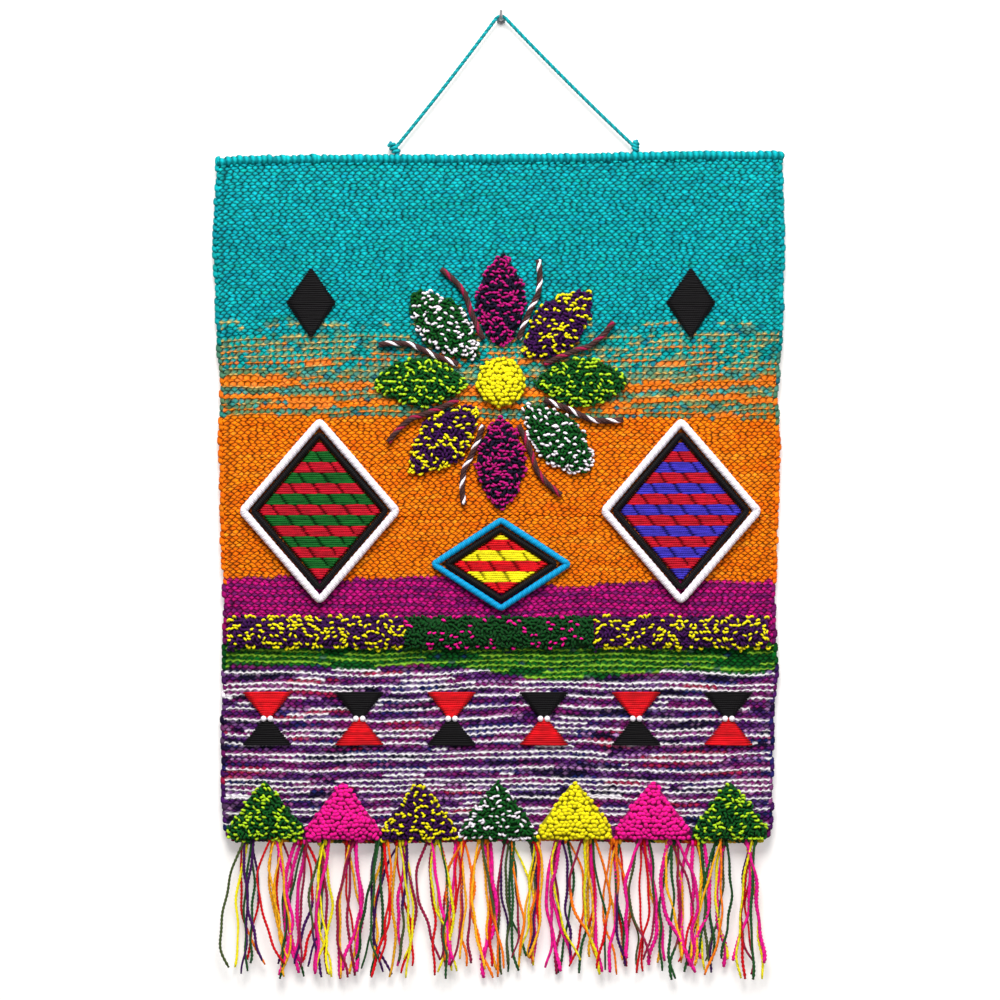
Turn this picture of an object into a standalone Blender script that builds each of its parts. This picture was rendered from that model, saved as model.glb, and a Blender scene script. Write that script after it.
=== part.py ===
"""Woven wall hanging with raised ornament, hung by a twisted cord from a small wall hook.

Metres, +Z up. The origin is the centre of the hook's collar on the wall plane, Y = 0. The hanging
faces -Y and X runs to the right as it is seen.
"""

import math
import random

import bmesh
import bpy
import numpy as np

# Spacing of pieces that touch
GAP = 0.0003

# Cloth: a thick weft-faced sheet that hangs just off the wall
CLOTH_MIDDLE = 0.0040
CLOTH_THICKNESS = 0.0040
CLOTH_COLUMNS = 12
CLOTH_ROW = 0.0140
ROLL_RADIUS = 0.0034
SELVEDGE_PROUD = 0.0011
BULGE = 0.0011
BULGE_WIDTH = 0.310
BULGE_HEIGHT = 0.370
CORNER_CUT = 0.0055

# Side edges from the bottom up. Columns: height z, left edge x, right edge x
SELVEDGES = (
    (-0.578, -0.1968, 0.1918),
    (-0.500, -0.1978, 0.1926),
    (-0.460, -0.1970, 0.1956),
    (-0.415, -0.1960, 0.1938),
    (-0.350, -0.1984, 0.1962),
    (-0.300, -0.1993, 0.1975),
    (-0.262, -0.1988, 0.1955),
    (-0.225, -0.2006, 0.1988),
    (-0.160, -0.2035, 0.2005),
    (-0.092, -0.2012, 0.1992),
)

# Upper edge from left to right. Columns: x, height z
TOP_EDGE = (
    (-0.201, -0.0972),
    (-0.186, -0.0955),
    (-0.128, -0.0945),
    (-0.022, -0.0945),
    (0.050, -0.0938),
    (0.137, -0.0920),
    (0.200, -0.0922),
)
BOTTOM_EDGE = -0.5785
BOTTOM_WAVE = 0.0008

# Wall hook: collar on the wall, shank and upturned prong
COLLAR_RADIUS = 0.0030
COLLAR_THICKNESS = 0.0012
WIRE_RADIUS = 0.0011
SHANK_REACH = 0.0090
PRONG_TOP = 0.0064
WIRE_BEND = 0.0024

# Hanging cord: two plies twisted together, laid over the shank and knotted at both ends
CORD_RADIUS = 0.00115
PLY_WAIST = 0.00080
CORD_TURN = 0.0086
CORD_STEP = 0.0018
CORD_BEND = 0.0046
CORD_DEPTH = 0.0050
CORD_SAG = 0.0012
KNOT_CLEAR = 0.35

# Knots. Columns: name, middle x, half length, half width, lean of the axis, where the cord enters x, z
KNOTS = (
    ("cord_knot_left", -0.0763, 0.0049, 0.0029, 123, -0.0752, -0.0912),
    ("cord_knot_right", 0.0953, 0.0042, 0.0026, 79, 0.0946, -0.0900),
)

# Fringe: a narrow root strip and bunches of loose yarns in three layers
STRIP_HEIGHT = 0.0040
STRIP_FRONT = 0.0083
STRIP_BACK = 0.0009
BUNCHES = 20
FRINGE_MARGIN = 0.0125
FRINGE_LENGTH = 0.0990
STRAND_RADIUS = 0.00105
STRAND_PITCH = 0.0027
STRAND_LEVELS = 5
STRANDS_IN_LAYER = (2, 2, 2)
LAYER_DEPTHS = (0.0021, 0.0046, 0.0071)

# Rosette of knotted pile
ROSETTE = (0.0, -0.256)
PETALS = 8
PETAL_RING = 0.0570
PETAL_LENGTH = 0.0320
PETAL_WIDTH = 0.0172
PETAL_POINT = 1.5
CENTRE_RADIUS = 0.0170
PILE_HEIGHT = 0.0075
PILE_LUMP = 0.0010
RAY_START = 0.0330
RAY_END = 0.0900
RAY_RADIUS = 0.0022
RAY_SWAY = 0.012
RAY_CURL = 0.24

# Laid-stitch lozenges. Columns: name, middle x, middle z, half width, half height, outer cord
LOZENGES = (
    ("lozenge_left", -0.128, -0.347, 0.0430, 0.0500, 0.0029),
    ("lozenge_right", 0.127, -0.347, 0.0430, 0.0500, 0.0029),
    ("lozenge_middle", 0.0, -0.3845, 0.0330, 0.0215, 0.0024),
)
INNER_CORD_RADIUS = 0.0022
SATIN_HEIGHT = 0.0018
SATIN_RIB = 0.0005
SATIN_STRIPE = 0.0100

# Small dark lozenges. Columns: name, middle x, middle z
SMALL_LOZENGES = (("spark_left", -0.134, -0.200), ("spark_right", 0.134, -0.200))
SPARK_HALF_WIDTH = 0.0175
SPARK_HALF_HEIGHT = 0.0250

# Pile band across the cloth, in three lengths
BAND_TOP = -0.4215
BAND_BOTTOM = -0.4435
BAND_JOINTS = (-0.1925, -0.0680, 0.0660, 0.1885)
BAND_STEP = 0.0130

# Row of hourglass figures and row of pile peaks on the lower edge
HOURGLASSES = 6
HOURGLASS_HEIGHT = 0.0190
HOURGLASS_WIDTH = 0.0155
HOURGLASS_MIDDLE = -0.4935
PEAKS = 7
PEAK_BASE = -0.5765
PEAK_HEIGHT = 0.0400
PEAK_MARGIN = 0.0030

COLOURS = {
    "teal_yarn": (0.004, 0.300, 0.345),
    "steel": (0.55, 0.55, 0.56),
    "mixed_yarn": (0.62, 0.10, 0.16),
    "green_pile": (0.10, 0.30, 0.02),
    "dark_green_pile": (0.01, 0.12, 0.03),
    "purple_pile": (0.13, 0.02, 0.16),
    "pink_pile": (0.80, 0.01, 0.27),
    "yellow_pile": (0.85, 0.70, 0.01),
    "black_stitch": (0.012, 0.011, 0.014),
    "red_stitch": (0.55, 0.01, 0.02),
    "blue_stitch": (0.06, 0.05, 0.40),
    "white_cord": (0.80, 0.78, 0.76),
    "blue_cord": (0.01, 0.30, 0.55),
    "brown_cord": (0.09, 0.03, 0.03),
}


def clear_objects():
    """Empties the scene."""
    for old in list(bpy.data.objects):
        bpy.data.objects.remove(old, do_unlink=True)


def yarn(name):
    """Matt yarn, or the hook's bare steel."""
    material = bpy.data.materials.get(name)
    if material:
        return material
    material = bpy.data.materials.new(name)
    material.use_nodes = True
    shader = material.node_tree.nodes["Principled BSDF"]
    shader.inputs["Base Color"].default_value = (*COLOURS[name], 1.0)
    shader.inputs["Roughness"].default_value = 0.3 if name == "steel" else 0.9
    shader.inputs["Metallic"].default_value = 1.0 if name == "steel" else 0.0
    material.diffuse_color = (*COLOURS[name], 1.0)
    return material


def make_object(name, vertices, faces, material, parts):
    """One closed body with its faces turned outwards."""
    mesh = bpy.data.meshes.new(name)
    mesh.from_pydata([tuple(map(float, vertex)) for vertex in vertices], [], faces)
    shell = bmesh.new()
    shell.from_mesh(mesh)
    bmesh.ops.recalc_face_normals(shell, faces=shell.faces)
    shell.to_mesh(mesh)
    shell.free()
    mesh.materials.append(yarn(material))
    mesh.shade_smooth()
    mesh.set_sharp_from_angle(angle=math.radians(45))
    piece = bpy.data.objects.new(name, mesh)
    parts.objects.link(piece)
    return piece


def column(table, index):
    """One column of a table of rows."""
    return [row[index] for row in table]


def left_edge(z):
    return float(np.interp(z, column(SELVEDGES, 0), column(SELVEDGES, 1)))


def right_edge(z):
    return float(np.interp(z, column(SELVEDGES, 0), column(SELVEDGES, 2)))


def top_edge(x):
    return float(np.interp(x, column(TOP_EDGE, 0), column(TOP_EDGE, 1)))


def bottom_edge(x):
    return BOTTOM_EDGE + BOTTOM_WAVE * math.sin(x * math.tau / 0.23 + 0.9)


def bulge(x, z):
    """How far the cloth stands off its flattest place: one long wave each way."""
    across = math.sin(x * math.tau / BULGE_WIDTH + 0.6)
    down = math.cos(z * math.tau / BULGE_HEIGHT + 0.4)
    return BULGE * (1.0 + across * down)


def seat(x, z):
    """Depth of the back of a piece that is sewn on the cloth's front."""
    return -(CLOTH_MIDDLE + CLOTH_THICKNESS / 2 + bulge(x, z) + GAP)


def cloth_rows():
    """Fractions of the height with the cloth's half thickness there, from the bottom edge to the roll."""
    height = TOP_EDGE[3][1] - BOTTOM_EDGE
    half = CLOTH_THICKNESS / 2
    rows = [(0.0, 0.4 * half), (0.0016 / height, half)]
    count = round(height / CLOTH_ROW)
    rows += [(i / count, half) for i in range(1, count)]
    for drop in (1.94, 1.45, 1.0, 0.5, 0.15, 0.0):
        thick = ROLL_RADIUS * math.sqrt(max(0.0, 1.0 - (1.0 - drop) ** 2))
        rows.append((1.0 - drop * ROLL_RADIUS / height, max(thick, half if drop > 1.0 else 0.0004)))
    return rows


def woven_cloth(parts):
    """The cloth with its rolled upper edge and lumpy selvedges: front and back grids joined round the rim."""
    rng = random.Random(4)
    rows = cloth_rows()
    vertices = []
    ids = {}

    def add(key, point):
        ids[key] = len(vertices)
        vertices.append(point)

    for j, (fraction, half) in enumerate(rows):
        level = BOTTOM_EDGE + fraction * (TOP_EDGE[3][1] - BOTTOM_EDGE)
        cut = CORNER_CUT if j < 2 else 0.0
        lumps = [rng.uniform(-0.3, 1.0) * SELVEDGE_PROUD for side in range(2)]
        left = left_edge(level) + cut + SELVEDGE_PROUD - lumps[0]
        right = right_edge(level) - cut - SELVEDGE_PROUD + lumps[1]
        for i in range(CLOTH_COLUMNS + 1):
            x = left + (right - left) * i / CLOTH_COLUMNS
            low = bottom_edge(x)
            z = low + fraction * (top_edge(x) - low)
            middle = -(CLOTH_MIDDLE + bulge(x, z))
            side = 0.7 if i in (0, CLOTH_COLUMNS) else 1.0
            add(("front", j, i), (x, middle - half * side, z))
            add(("back", j, i), (x, middle + half * side, z))
            if i in (0, CLOTH_COLUMNS):
                out = -SELVEDGE_PROUD if i == 0 else SELVEDGE_PROUD
                add(("rim", j, i), (x + out, middle, z))

    faces = []
    last = len(rows) - 1
    for j in range(last):
        for i in range(CLOTH_COLUMNS):
            for sheet in ("front", "back"):
                faces.append([ids[sheet, j, i], ids[sheet, j, i + 1],
                              ids[sheet, j + 1, i + 1], ids[sheet, j + 1, i]])
        for i in (0, CLOTH_COLUMNS):
            for sheet in ("front", "back"):
                faces.append([ids[sheet, j, i], ids["rim", j, i],
                              ids["rim", j + 1, i], ids[sheet, j + 1, i]])
    for j in (0, last):
        for i in range(CLOTH_COLUMNS):
            faces.append([ids["front", j, i], ids["front", j, i + 1],
                          ids["back", j, i + 1], ids["back", j, i]])
        for i in (0, CLOTH_COLUMNS):
            faces.append([ids["front", j, i], ids["rim", j, i], ids["back", j, i]])
    make_object("woven_cloth", vertices, faces, "teal_yarn", parts)


def strip_mesh(left, right):
    """The fringe's root strip: a narrow bar that follows the cloth's lower edge."""
    vertices = []
    faces = []
    count = CLOTH_COLUMNS
    for i in range(count + 1):
        x = left + (right - left) * i / count
        top = bottom_edge(x) - GAP
        swell = bulge(x, top)
        for depth, z in ((STRIP_FRONT, top), (STRIP_BACK, top),
                         (STRIP_BACK, top - STRIP_HEIGHT), (STRIP_FRONT, top - STRIP_HEIGHT)):
            vertices.append((x, -(depth + swell), z))
    for i in range(count):
        for k in range(4):
            a = 4 * i + k
            b = 4 * i + (k + 1) % 4
            faces.append([a, b, b + 4, a + 4])
    faces.append([0, 1, 2, 3])
    faces.append([4 * count + k for k in range(4)])
    return vertices, faces


def spread(places, pitch):
    """Moves sorted places as little as it can so that neighbours are at least the pitch apart."""
    steps = np.arange(len(places)) * pitch
    pushed_right = np.maximum.accumulate(places - steps) + steps
    pushed_left = np.minimum.accumulate((places - steps)[::-1])[::-1] + steps
    return (pushed_right + pushed_left) / 2


def fringe_layer(layer, left, right):
    """Places of one layer's yarns at each level, as an array of levels by yarns, and their lengths."""
    rng = np.random.default_rng(20 + layer)
    bunch = np.linspace(left + FRINGE_MARGIN, right - FRINGE_MARGIN, BUNCHES)
    bunch = bunch + np.random.default_rng(7).uniform(-0.0030, 0.0030, BUNCHES)
    count = STRANDS_IN_LAYER[layer]
    beside = (np.arange(count) - (count - 1) / 2) * STRAND_PITCH
    roots = (bunch[:, None] + beside[None, :]).ravel()
    drift = np.repeat(rng.uniform(-0.006, 0.006, BUNCHES), count) + rng.uniform(-0.006, 0.006, roots.size)
    sway = rng.uniform(0.001, 0.004, roots.size)
    phase = rng.uniform(0, math.tau, roots.size)
    levels = np.linspace(0.0, 1.0, STRAND_LEVELS + 1)[:, None]
    places = roots + drift * levels**1.4 + sway * (np.sin(phase + levels * 7.0) - np.sin(phase)) * levels**0.5
    places = np.array([spread(row, STRAND_PITCH) for row in places])
    lengths = FRINGE_LENGTH - rng.uniform(0.0, 0.014, roots.size)
    return places, lengths


def strand_bodies(left, right):
    """Three-sided yarns that start inside the root strip and hang in layers that never meet."""
    vertices = []
    faces = []
    corners = [(STRAND_RADIUS * math.cos(a), STRAND_RADIUS * math.sin(a))
               for a in (math.radians(90), math.radians(210), math.radians(330))]
    for layer, depth in enumerate(LAYER_DEPTHS):
        places, lengths = fringe_layer(layer, left, right)
        for strand in range(places.shape[1]):
            start = len(vertices)
            root = bottom_edge(places[0, strand]) - GAP - STRIP_HEIGHT / 2
            swell = bulge(places[0, strand], root)
            for level in range(STRAND_LEVELS + 1):
                z = root - lengths[strand] * level / STRAND_LEVELS
                for dx, dy in corners:
                    vertices.append((places[level, strand] + dx, -(depth + swell) + dy, z))
            for level in range(STRAND_LEVELS):
                for k in range(3):
                    a = start + 3 * level + k
                    b = start + 3 * level + (k + 1) % 3
                    faces.append([a, b, b + 3, a + 3])
            faces.append([start, start + 1, start + 2])
            end = start + 3 * STRAND_LEVELS
            faces.append([end, end + 1, end + 2])
    return vertices, faces


def fringe(parts, cutters):
    """The loose yarns joined to their strip as one body."""
    left = left_edge(BOTTOM_EDGE) + CORNER_CUT
    right = right_edge(BOTTOM_EDGE) - CORNER_CUT
    strip = make_object("fringe", *strip_mesh(left, right), "mixed_yarn", parts)
    strands = make_object("fringe_strands", *strand_bodies(left, right), "mixed_yarn", cutters)
    strands.hide_render = True
    strands.display_type = "WIRE"
    union = strip.modifiers.new("strands", "BOOLEAN")
    union.operation = "UNION"
    union.solver = "EXACT"
    union.object = strands


def leg_end(start, knot):
    """Where a leg of the cord stops: just before the round form of its knot."""
    name, middle_x, half_length, half_width, lean, enter_x, enter_z = knot
    middle = knot_middle(knot)
    along = np.array([math.cos(math.radians(lean)), 0.0, math.sin(math.radians(lean))])
    target = np.array([enter_x, middle[1], enter_z])
    path = target - start
    reach = np.linalg.norm(path)
    clear = CORD_RADIUS * KNOT_CLEAR + GAP
    for fraction in np.linspace(0.9, 1.0, 201):
        offset = start + path * fraction - middle
        lengthways = offset @ along
        sideways = math.sqrt(max(0.0, offset @ offset - lengthways**2))
        if (lengthways / (half_length + clear)) ** 2 + (sideways / (half_width + clear)) ** 2 < 1.0:
            break
    return start + path * (fraction - GAP / reach)


def knot_middle(knot):
    """The middle of a knot that sits on the rolled edge."""
    name, middle_x, half_length, half_width, lean, enter_x, enter_z = knot
    drop = math.hypot(half_length * math.sin(math.radians(lean)), half_width * math.cos(math.radians(lean)))
    z = max(top_edge(middle_x - 0.003), top_edge(middle_x + 0.003)) + GAP + drop
    return np.array([middle_x, -(CLOTH_MIDDLE + bulge(middle_x, z)), z])


def cord_route():
    """The cord's centre line: up from the left knot, over the shank and down to the right knot."""
    top = WIRE_RADIUS + CORD_RADIUS + GAP
    centre = np.array([0.0, -CORD_DEPTH, top - CORD_BEND])
    ends = [np.array([knot[5], 0.0, knot[6]]) for knot in KNOTS]
    angles = []
    for end, turn in zip(ends, (1, -1)):
        away = end - np.array([0.0, 0.0, top])
        angles.append(math.atan2(away[2], away[0]) - turn * math.pi / 2)
    arc_angles = np.linspace(angles[0] % math.tau, angles[1] % math.tau, 9)
    arc = [centre + CORD_BEND * np.array([math.cos(a), 0.0, math.sin(a)]) for a in arc_angles]
    stops = [leg_end(arc[0], KNOTS[0]), leg_end(arc[-1], KNOTS[1])]
    steps = np.linspace(0.0, 1.0, 40)
    left = [stops[0] + (arc[0] - stops[0]) * t - np.array([0, 0, CORD_SAG * 4 * t * (1 - t)]) for t in steps]
    right = [arc[-1] + (stops[1] - arc[-1]) * t - np.array([0, 0, CORD_SAG * 4 * t * (1 - t)]) for t in steps]
    return np.array(left[:-1] + arc + right[1:])


def resample(route, step):
    """Points an even step apart along a route, with the distance of each from its start."""
    lengths = np.concatenate([[0.0], np.cumsum(np.linalg.norm(np.diff(route, axis=0), axis=1))])
    count = round(lengths[-1] / step)
    places = np.linspace(0.0, lengths[-1], count + 1)
    points = np.stack([np.interp(places, lengths, route[:, k]) for k in range(3)], axis=1)
    return points, places


def hanging_cord(parts):
    """Two plies twisted: a two-lobed section that turns as it goes along the route."""
    points, places = resample(cord_route(), CORD_STEP)
    tangents = np.gradient(points, axis=0)
    tangents /= np.linalg.norm(tangents, axis=1)[:, None]
    sides = 6
    vertices = []
    faces = []
    for point, tangent, place in zip(points, tangents, places):
        across = np.cross(tangent, (0.0, 1.0, 0.0))
        across /= np.linalg.norm(across)
        up = np.cross(across, tangent)
        turn = math.tau * place / CORD_TURN
        for k in range(sides):
            a = math.tau * k / sides
            u = CORD_RADIUS * math.cos(a)
            v = PLY_WAIST * math.sin(a)
            vertices.append(point + across * (u * math.cos(turn) - v * math.sin(turn))
                            + up * (u * math.sin(turn) + v * math.cos(turn)))
    for i in range(len(points) - 1):
        for k in range(sides):
            a = sides * i + k
            b = sides * i + (k + 1) % sides
            faces.append([a, b, b + sides, a + sides])
    faces.append(list(range(sides)))
    faces.append([sides * (len(points) - 1) + k for k in range(sides)])
    make_object("hanging_cord", vertices, faces, "teal_yarn", parts)


def cord_knot(knot, parts):
    """Two round lumps with a wound groove, leaning on the rolled edge."""
    name, middle_x, half_length, half_width, lean, enter_x, enter_z = knot
    middle = knot_middle(knot)
    along = np.array([math.cos(math.radians(lean)), 0.0, math.sin(math.radians(lean))])
    side = np.array([-along[2], 0.0, along[0]])
    spokes = 10
    rings = 8
    vertices = [middle - along * half_length]
    for ring in range(1, rings):
        t = -math.cos(math.pi * ring / rings)
        waist = 1.0 - 0.20 * math.exp(-((t / 0.28) ** 2))
        for k in range(spokes):
            a = math.tau * k / spokes
            groove = 0.94 + 0.06 * math.cos(2 * a + 4 * t)
            radius = half_width * math.sqrt(1.0 - t * t) * waist * groove
            vertices.append(middle + along * (t * half_length) + side * (radius * math.cos(a))
                            + np.array([0.0, radius * math.sin(a), 0.0]))
    vertices.append(middle + along * half_length)
    faces = fan_and_rings(spokes, rings - 1)
    end = len(vertices) - 1
    base = 1 + spokes * (rings - 2)
    faces += [[end, base + k, base + (k + 1) % spokes] for k in range(spokes)]
    make_object(name, vertices, faces, "teal_yarn", parts)


def fan_and_rings(spokes, rings, start=0):
    """Faces of a pole at start with rings of points round it, each ring a row of spokes points."""
    faces = [[start, start + 1 + k, start + 1 + (k + 1) % spokes] for k in range(spokes)]
    for ring in range(rings - 1):
        for k in range(spokes):
            a = start + 1 + spokes * ring + k
            b = start + 1 + spokes * ring + (k + 1) % spokes
            faces.append([a, b, b + spokes, a + spokes])
    return faces


def wall_hook(parts, cutters):
    """Collar on the wall with a wire shank that turns up into a prong."""
    bpy.ops.mesh.primitive_cylinder_add(vertices=24, radius=COLLAR_RADIUS, depth=COLLAR_THICKNESS,
                                        location=(0, -COLLAR_THICKNESS / 2, 0), rotation=(math.pi / 2, 0, 0))
    collar = bpy.context.active_object
    collar.name = "wall_hook"
    for holder in list(collar.users_collection):
        holder.objects.unlink(collar)
    parts.objects.link(collar)
    collar.data.materials.append(yarn("steel"))
    route = [(0.0, -COLLAR_THICKNESS / 2, 0.0)]
    for step in range(6):
        a = math.radians(18 * step)
        route.append((0.0, -(SHANK_REACH - WIRE_BEND + WIRE_BEND * math.sin(a)), WIRE_BEND * (1 - math.cos(a))))
    route.append((0.0, -SHANK_REACH, PRONG_TOP))
    wire = mesh_tube("hook_wire", route, WIRE_RADIUS, False, 3, "steel", cutters)
    wire.hide_render = True
    wire.display_type = "WIRE"
    union = collar.modifiers.new("shank", "BOOLEAN")
    union.operation = "UNION"
    union.solver = "EXACT"
    union.object = wire


def mesh_tube(name, route, radius, closed, resolution, material, holder):
    """A round tube along a route, made as a bevelled curve and turned into a welded mesh."""
    curve = bpy.data.curves.new(name, "CURVE")
    curve.dimensions = "3D"
    curve.bevel_depth = radius
    curve.bevel_resolution = resolution
    curve.use_fill_caps = True
    spline = curve.splines.new("POLY")
    spline.points.add(len(route) - 1)
    for point, place in zip(spline.points, route):
        point.co = (*map(float, place), 1.0)
    spline.use_cyclic_u = closed
    guide = bpy.data.objects.new(name + "_route", curve)
    holder.objects.link(guide)
    evaluated = guide.evaluated_get(bpy.context.evaluated_depsgraph_get())
    mesh = bpy.data.meshes.new_from_object(evaluated)
    bpy.data.objects.remove(guide, do_unlink=True)
    shell = bmesh.new()
    shell.from_mesh(mesh)
    bmesh.ops.remove_doubles(shell, verts=shell.verts, dist=0.00001)
    bmesh.ops.recalc_face_normals(shell, faces=shell.faces)
    shell.to_mesh(mesh)
    shell.free()
    mesh.name = name
    mesh.materials.clear()
    mesh.materials.append(yarn(material))
    mesh.shade_smooth()
    mesh.set_sharp_from_angle(angle=math.radians(60))
    tube = bpy.data.objects.new(name, mesh)
    holder.objects.link(tube)
    return tube


def couched_cord(name, flat_route, radius, closed, material, parts):
    """A cord sewn down on the cloth's front along a route of x, z points."""
    route = [(x, seat(x, z) - radius, z) for x, z in flat_route]
    mesh_tube(name, route, radius, closed, 1, material, parts)


def pile_piece(name, middle, reach, height, seed, material, parts, spokes=18):
    """A lumpy crowned pad of knotted pile: rings of points round its middle, front and back."""
    rng = random.Random(seed)
    crown = (0.0, 0.46, 0.84, 1.0)
    depth = (1.0, 0.95, 0.70, 0.25)
    radii = [reach(math.tau * k / spokes) * (1.0 + rng.uniform(-0.05, 0.03)) for k in range(spokes)]
    x0, z0 = middle
    vertices = [(x0, seat(x0, z0) - height, z0)]
    for ring in range(1, len(crown)):
        for k in range(spokes):
            a = math.tau * k / spokes
            x = x0 + crown[ring] * radii[k] * math.cos(a)
            z = z0 + crown[ring] * radii[k] * math.sin(a)
            lump = rng.uniform(-1.0, 1.0) * PILE_LUMP * (1.0 - crown[ring] ** 6)
            vertices.append((x, seat(x, z) - height * depth[ring] - lump, z))
    faces = fan_and_rings(spokes, len(crown) - 1)
    front_rim = 1 + spokes * (len(crown) - 2)
    back = len(vertices)
    vertices.append((x0, seat(x0, z0), z0))
    for share in (0.55, 1.0):
        for k in range(spokes):
            a = math.tau * k / spokes
            x = x0 + share * radii[k] * math.cos(a)
            z = z0 + share * radii[k] * math.sin(a)
            vertices.append((x, seat(x, z), z))
    faces += fan_and_rings(spokes, 2, back)
    back_rim = back + 1 + spokes
    for k in range(spokes):
        beside = (k + 1) % spokes
        faces.append([front_rim + k, front_rim + beside, back_rim + beside, back_rim + k])
    make_object(name, vertices, faces, material, parts)


def petal_reach(direction):
    """Outline of a pointed oval that lies along a direction."""
    def reach(a):
        along = abs(math.cos(a - direction)) / PETAL_LENGTH
        aside = abs(math.sin(a - direction)) / PETAL_WIDTH
        return (along**PETAL_POINT + aside**PETAL_POINT) ** (-1.0 / PETAL_POINT)
    return reach


def rosette(parts):
    """Eight petals and a round middle of pile, with a couched cord between each two petals."""
    x0, z0 = ROSETTE
    pile_piece("rosette_middle", ROSETTE, lambda a: CENTRE_RADIUS, PILE_HEIGHT + 0.001, 3, "yellow_pile", parts, 14)
    materials = ("green_pile", "purple_pile", "pink_pile", "dark_green_pile")
    for k in range(PETALS):
        direction = math.tau * k / PETALS
        middle = (x0 + PETAL_RING * math.cos(direction), z0 + PETAL_RING * math.sin(direction))
        pile_piece(f"petal_{k + 1}", middle, petal_reach(direction), PILE_HEIGHT, 30 + k,
                   materials[k % 4], parts, 16)
        between = direction + math.pi / PETALS
        route = []
        for t in np.linspace(0.0, 1.0, 6):
            radius = RAY_START + (RAY_END - RAY_START) * t
            a = between + RAY_SWAY * math.sin(t * math.tau) + RAY_CURL * max(0.0, t - 0.6)
            route.append((x0 + radius * math.cos(a), z0 + radius * math.sin(a)))
        couched_cord(f"ray_{k + 1}", route, RAY_RADIUS, False, "brown_cord", parts)


def stitched_panel(name, middle, half_width, half_height, stripes, material, parts):
    """Laid stitches in level rows: a low crowned panel whose rows stand up as soft ribs."""
    x0, z0 = middle
    rows = 2 * stripes
    across = (-1.0, -0.5, 0.0, 0.5, 1.0)
    vertices = []
    for j in range(rows + 1):
        z = z0 + half_height * (2.0 * j / rows - 1.0)
        rib = SATIN_RIB if j % 2 else 0.0
        for s in across:
            x = x0 + s * half_width(z - z0)
            vertices.append((x, seat(x, z) - SATIN_HEIGHT * (0.5 + 0.5 * (1 - s * s)) - rib, z))
        for s in (-1.0, 0.0, 1.0):
            x = x0 + s * half_width(z - z0)
            vertices.append((x, seat(x, z), z))
    faces = []
    width = len(across) + 3
    for j in range(rows):
        low = j * width
        high = low + width
        for i in (0, 1, 2, 3, 5, 6):
            faces.append([low + i, low + i + 1, high + i + 1, high + i])
        faces.append([low, high, high + 5, low + 5])
        faces.append([low + 4, high + 4, high + 7, low + 7])
    for low in (0, rows * width):
        faces.append([low, low + 1, low + 2, low + 6, low + 5])
        faces.append([low + 2, low + 3, low + 4, low + 7, low + 6])
    make_object(name, vertices, faces, material, parts)


def lozenge_width(half_width, half_height):
    """Half width of a lozenge at a height above its middle, with blunt points."""
    return lambda z: max(0.0012, half_width * (1.0 - abs(z) / half_height))


def lozenge_route(middle, half_width, half_height, offset):
    """A lozenge that lies the offset outside another, with its corners rounded off."""
    inner = half_width * half_height / math.hypot(half_width, half_height)
    scale = 1.0 + offset / inner
    corners = [(half_width * scale, 0.0), (0.0, half_height * scale),
               (-half_width * scale, 0.0), (0.0, -half_height * scale)]
    blunt = 0.045
    route = []
    for k, (x, z) in enumerate(corners):
        next_x, next_z = corners[(k + 1) % 4]
        for t in (blunt, 0.5, 1 - blunt):
            route.append((middle[0] + x + (next_x - x) * t, middle[1] + z + (next_z - z) * t))
        tip = 1.0 - 0.35 * blunt
        route.append((middle[0] + next_x * tip, middle[1] + next_z * tip))
    return route


def lozenges(parts):
    """Each lozenge has a field of laid stitches inside a dark cord and a thicker light one."""
    materials = {"lozenge_left": ("red_stitch", "white_cord"), "lozenge_right": ("blue_stitch", "white_cord"),
                 "lozenge_middle": ("red_stitch", "blue_cord")}
    for name, x, z, half_width, half_height, outer in LOZENGES:
        field, rim = materials[name]
        stripes = round(2 * half_height / SATIN_STRIPE)
        stitched_panel(name + "_field", (x, z), lozenge_width(half_width, half_height), half_height * 0.97,
                       stripes, field, parts)
        inner = INNER_CORD_RADIUS + 2 * GAP
        couched_cord(name + "_inner_cord", lozenge_route((x, z), half_width, half_height, inner),
                     INNER_CORD_RADIUS, True, "black_stitch", parts)
        outward = inner + INNER_CORD_RADIUS + 2 * GAP + outer
        couched_cord(name + "_outer_cord", lozenge_route((x, z), half_width, half_height, outward),
                     outer, True, rim, parts)
    for name, x, z in SMALL_LOZENGES:
        stitched_panel(name, (x, z), lozenge_width(SPARK_HALF_WIDTH, SPARK_HALF_HEIGHT), SPARK_HALF_HEIGHT * 0.95,
                       4, "black_stitch", parts)


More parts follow.
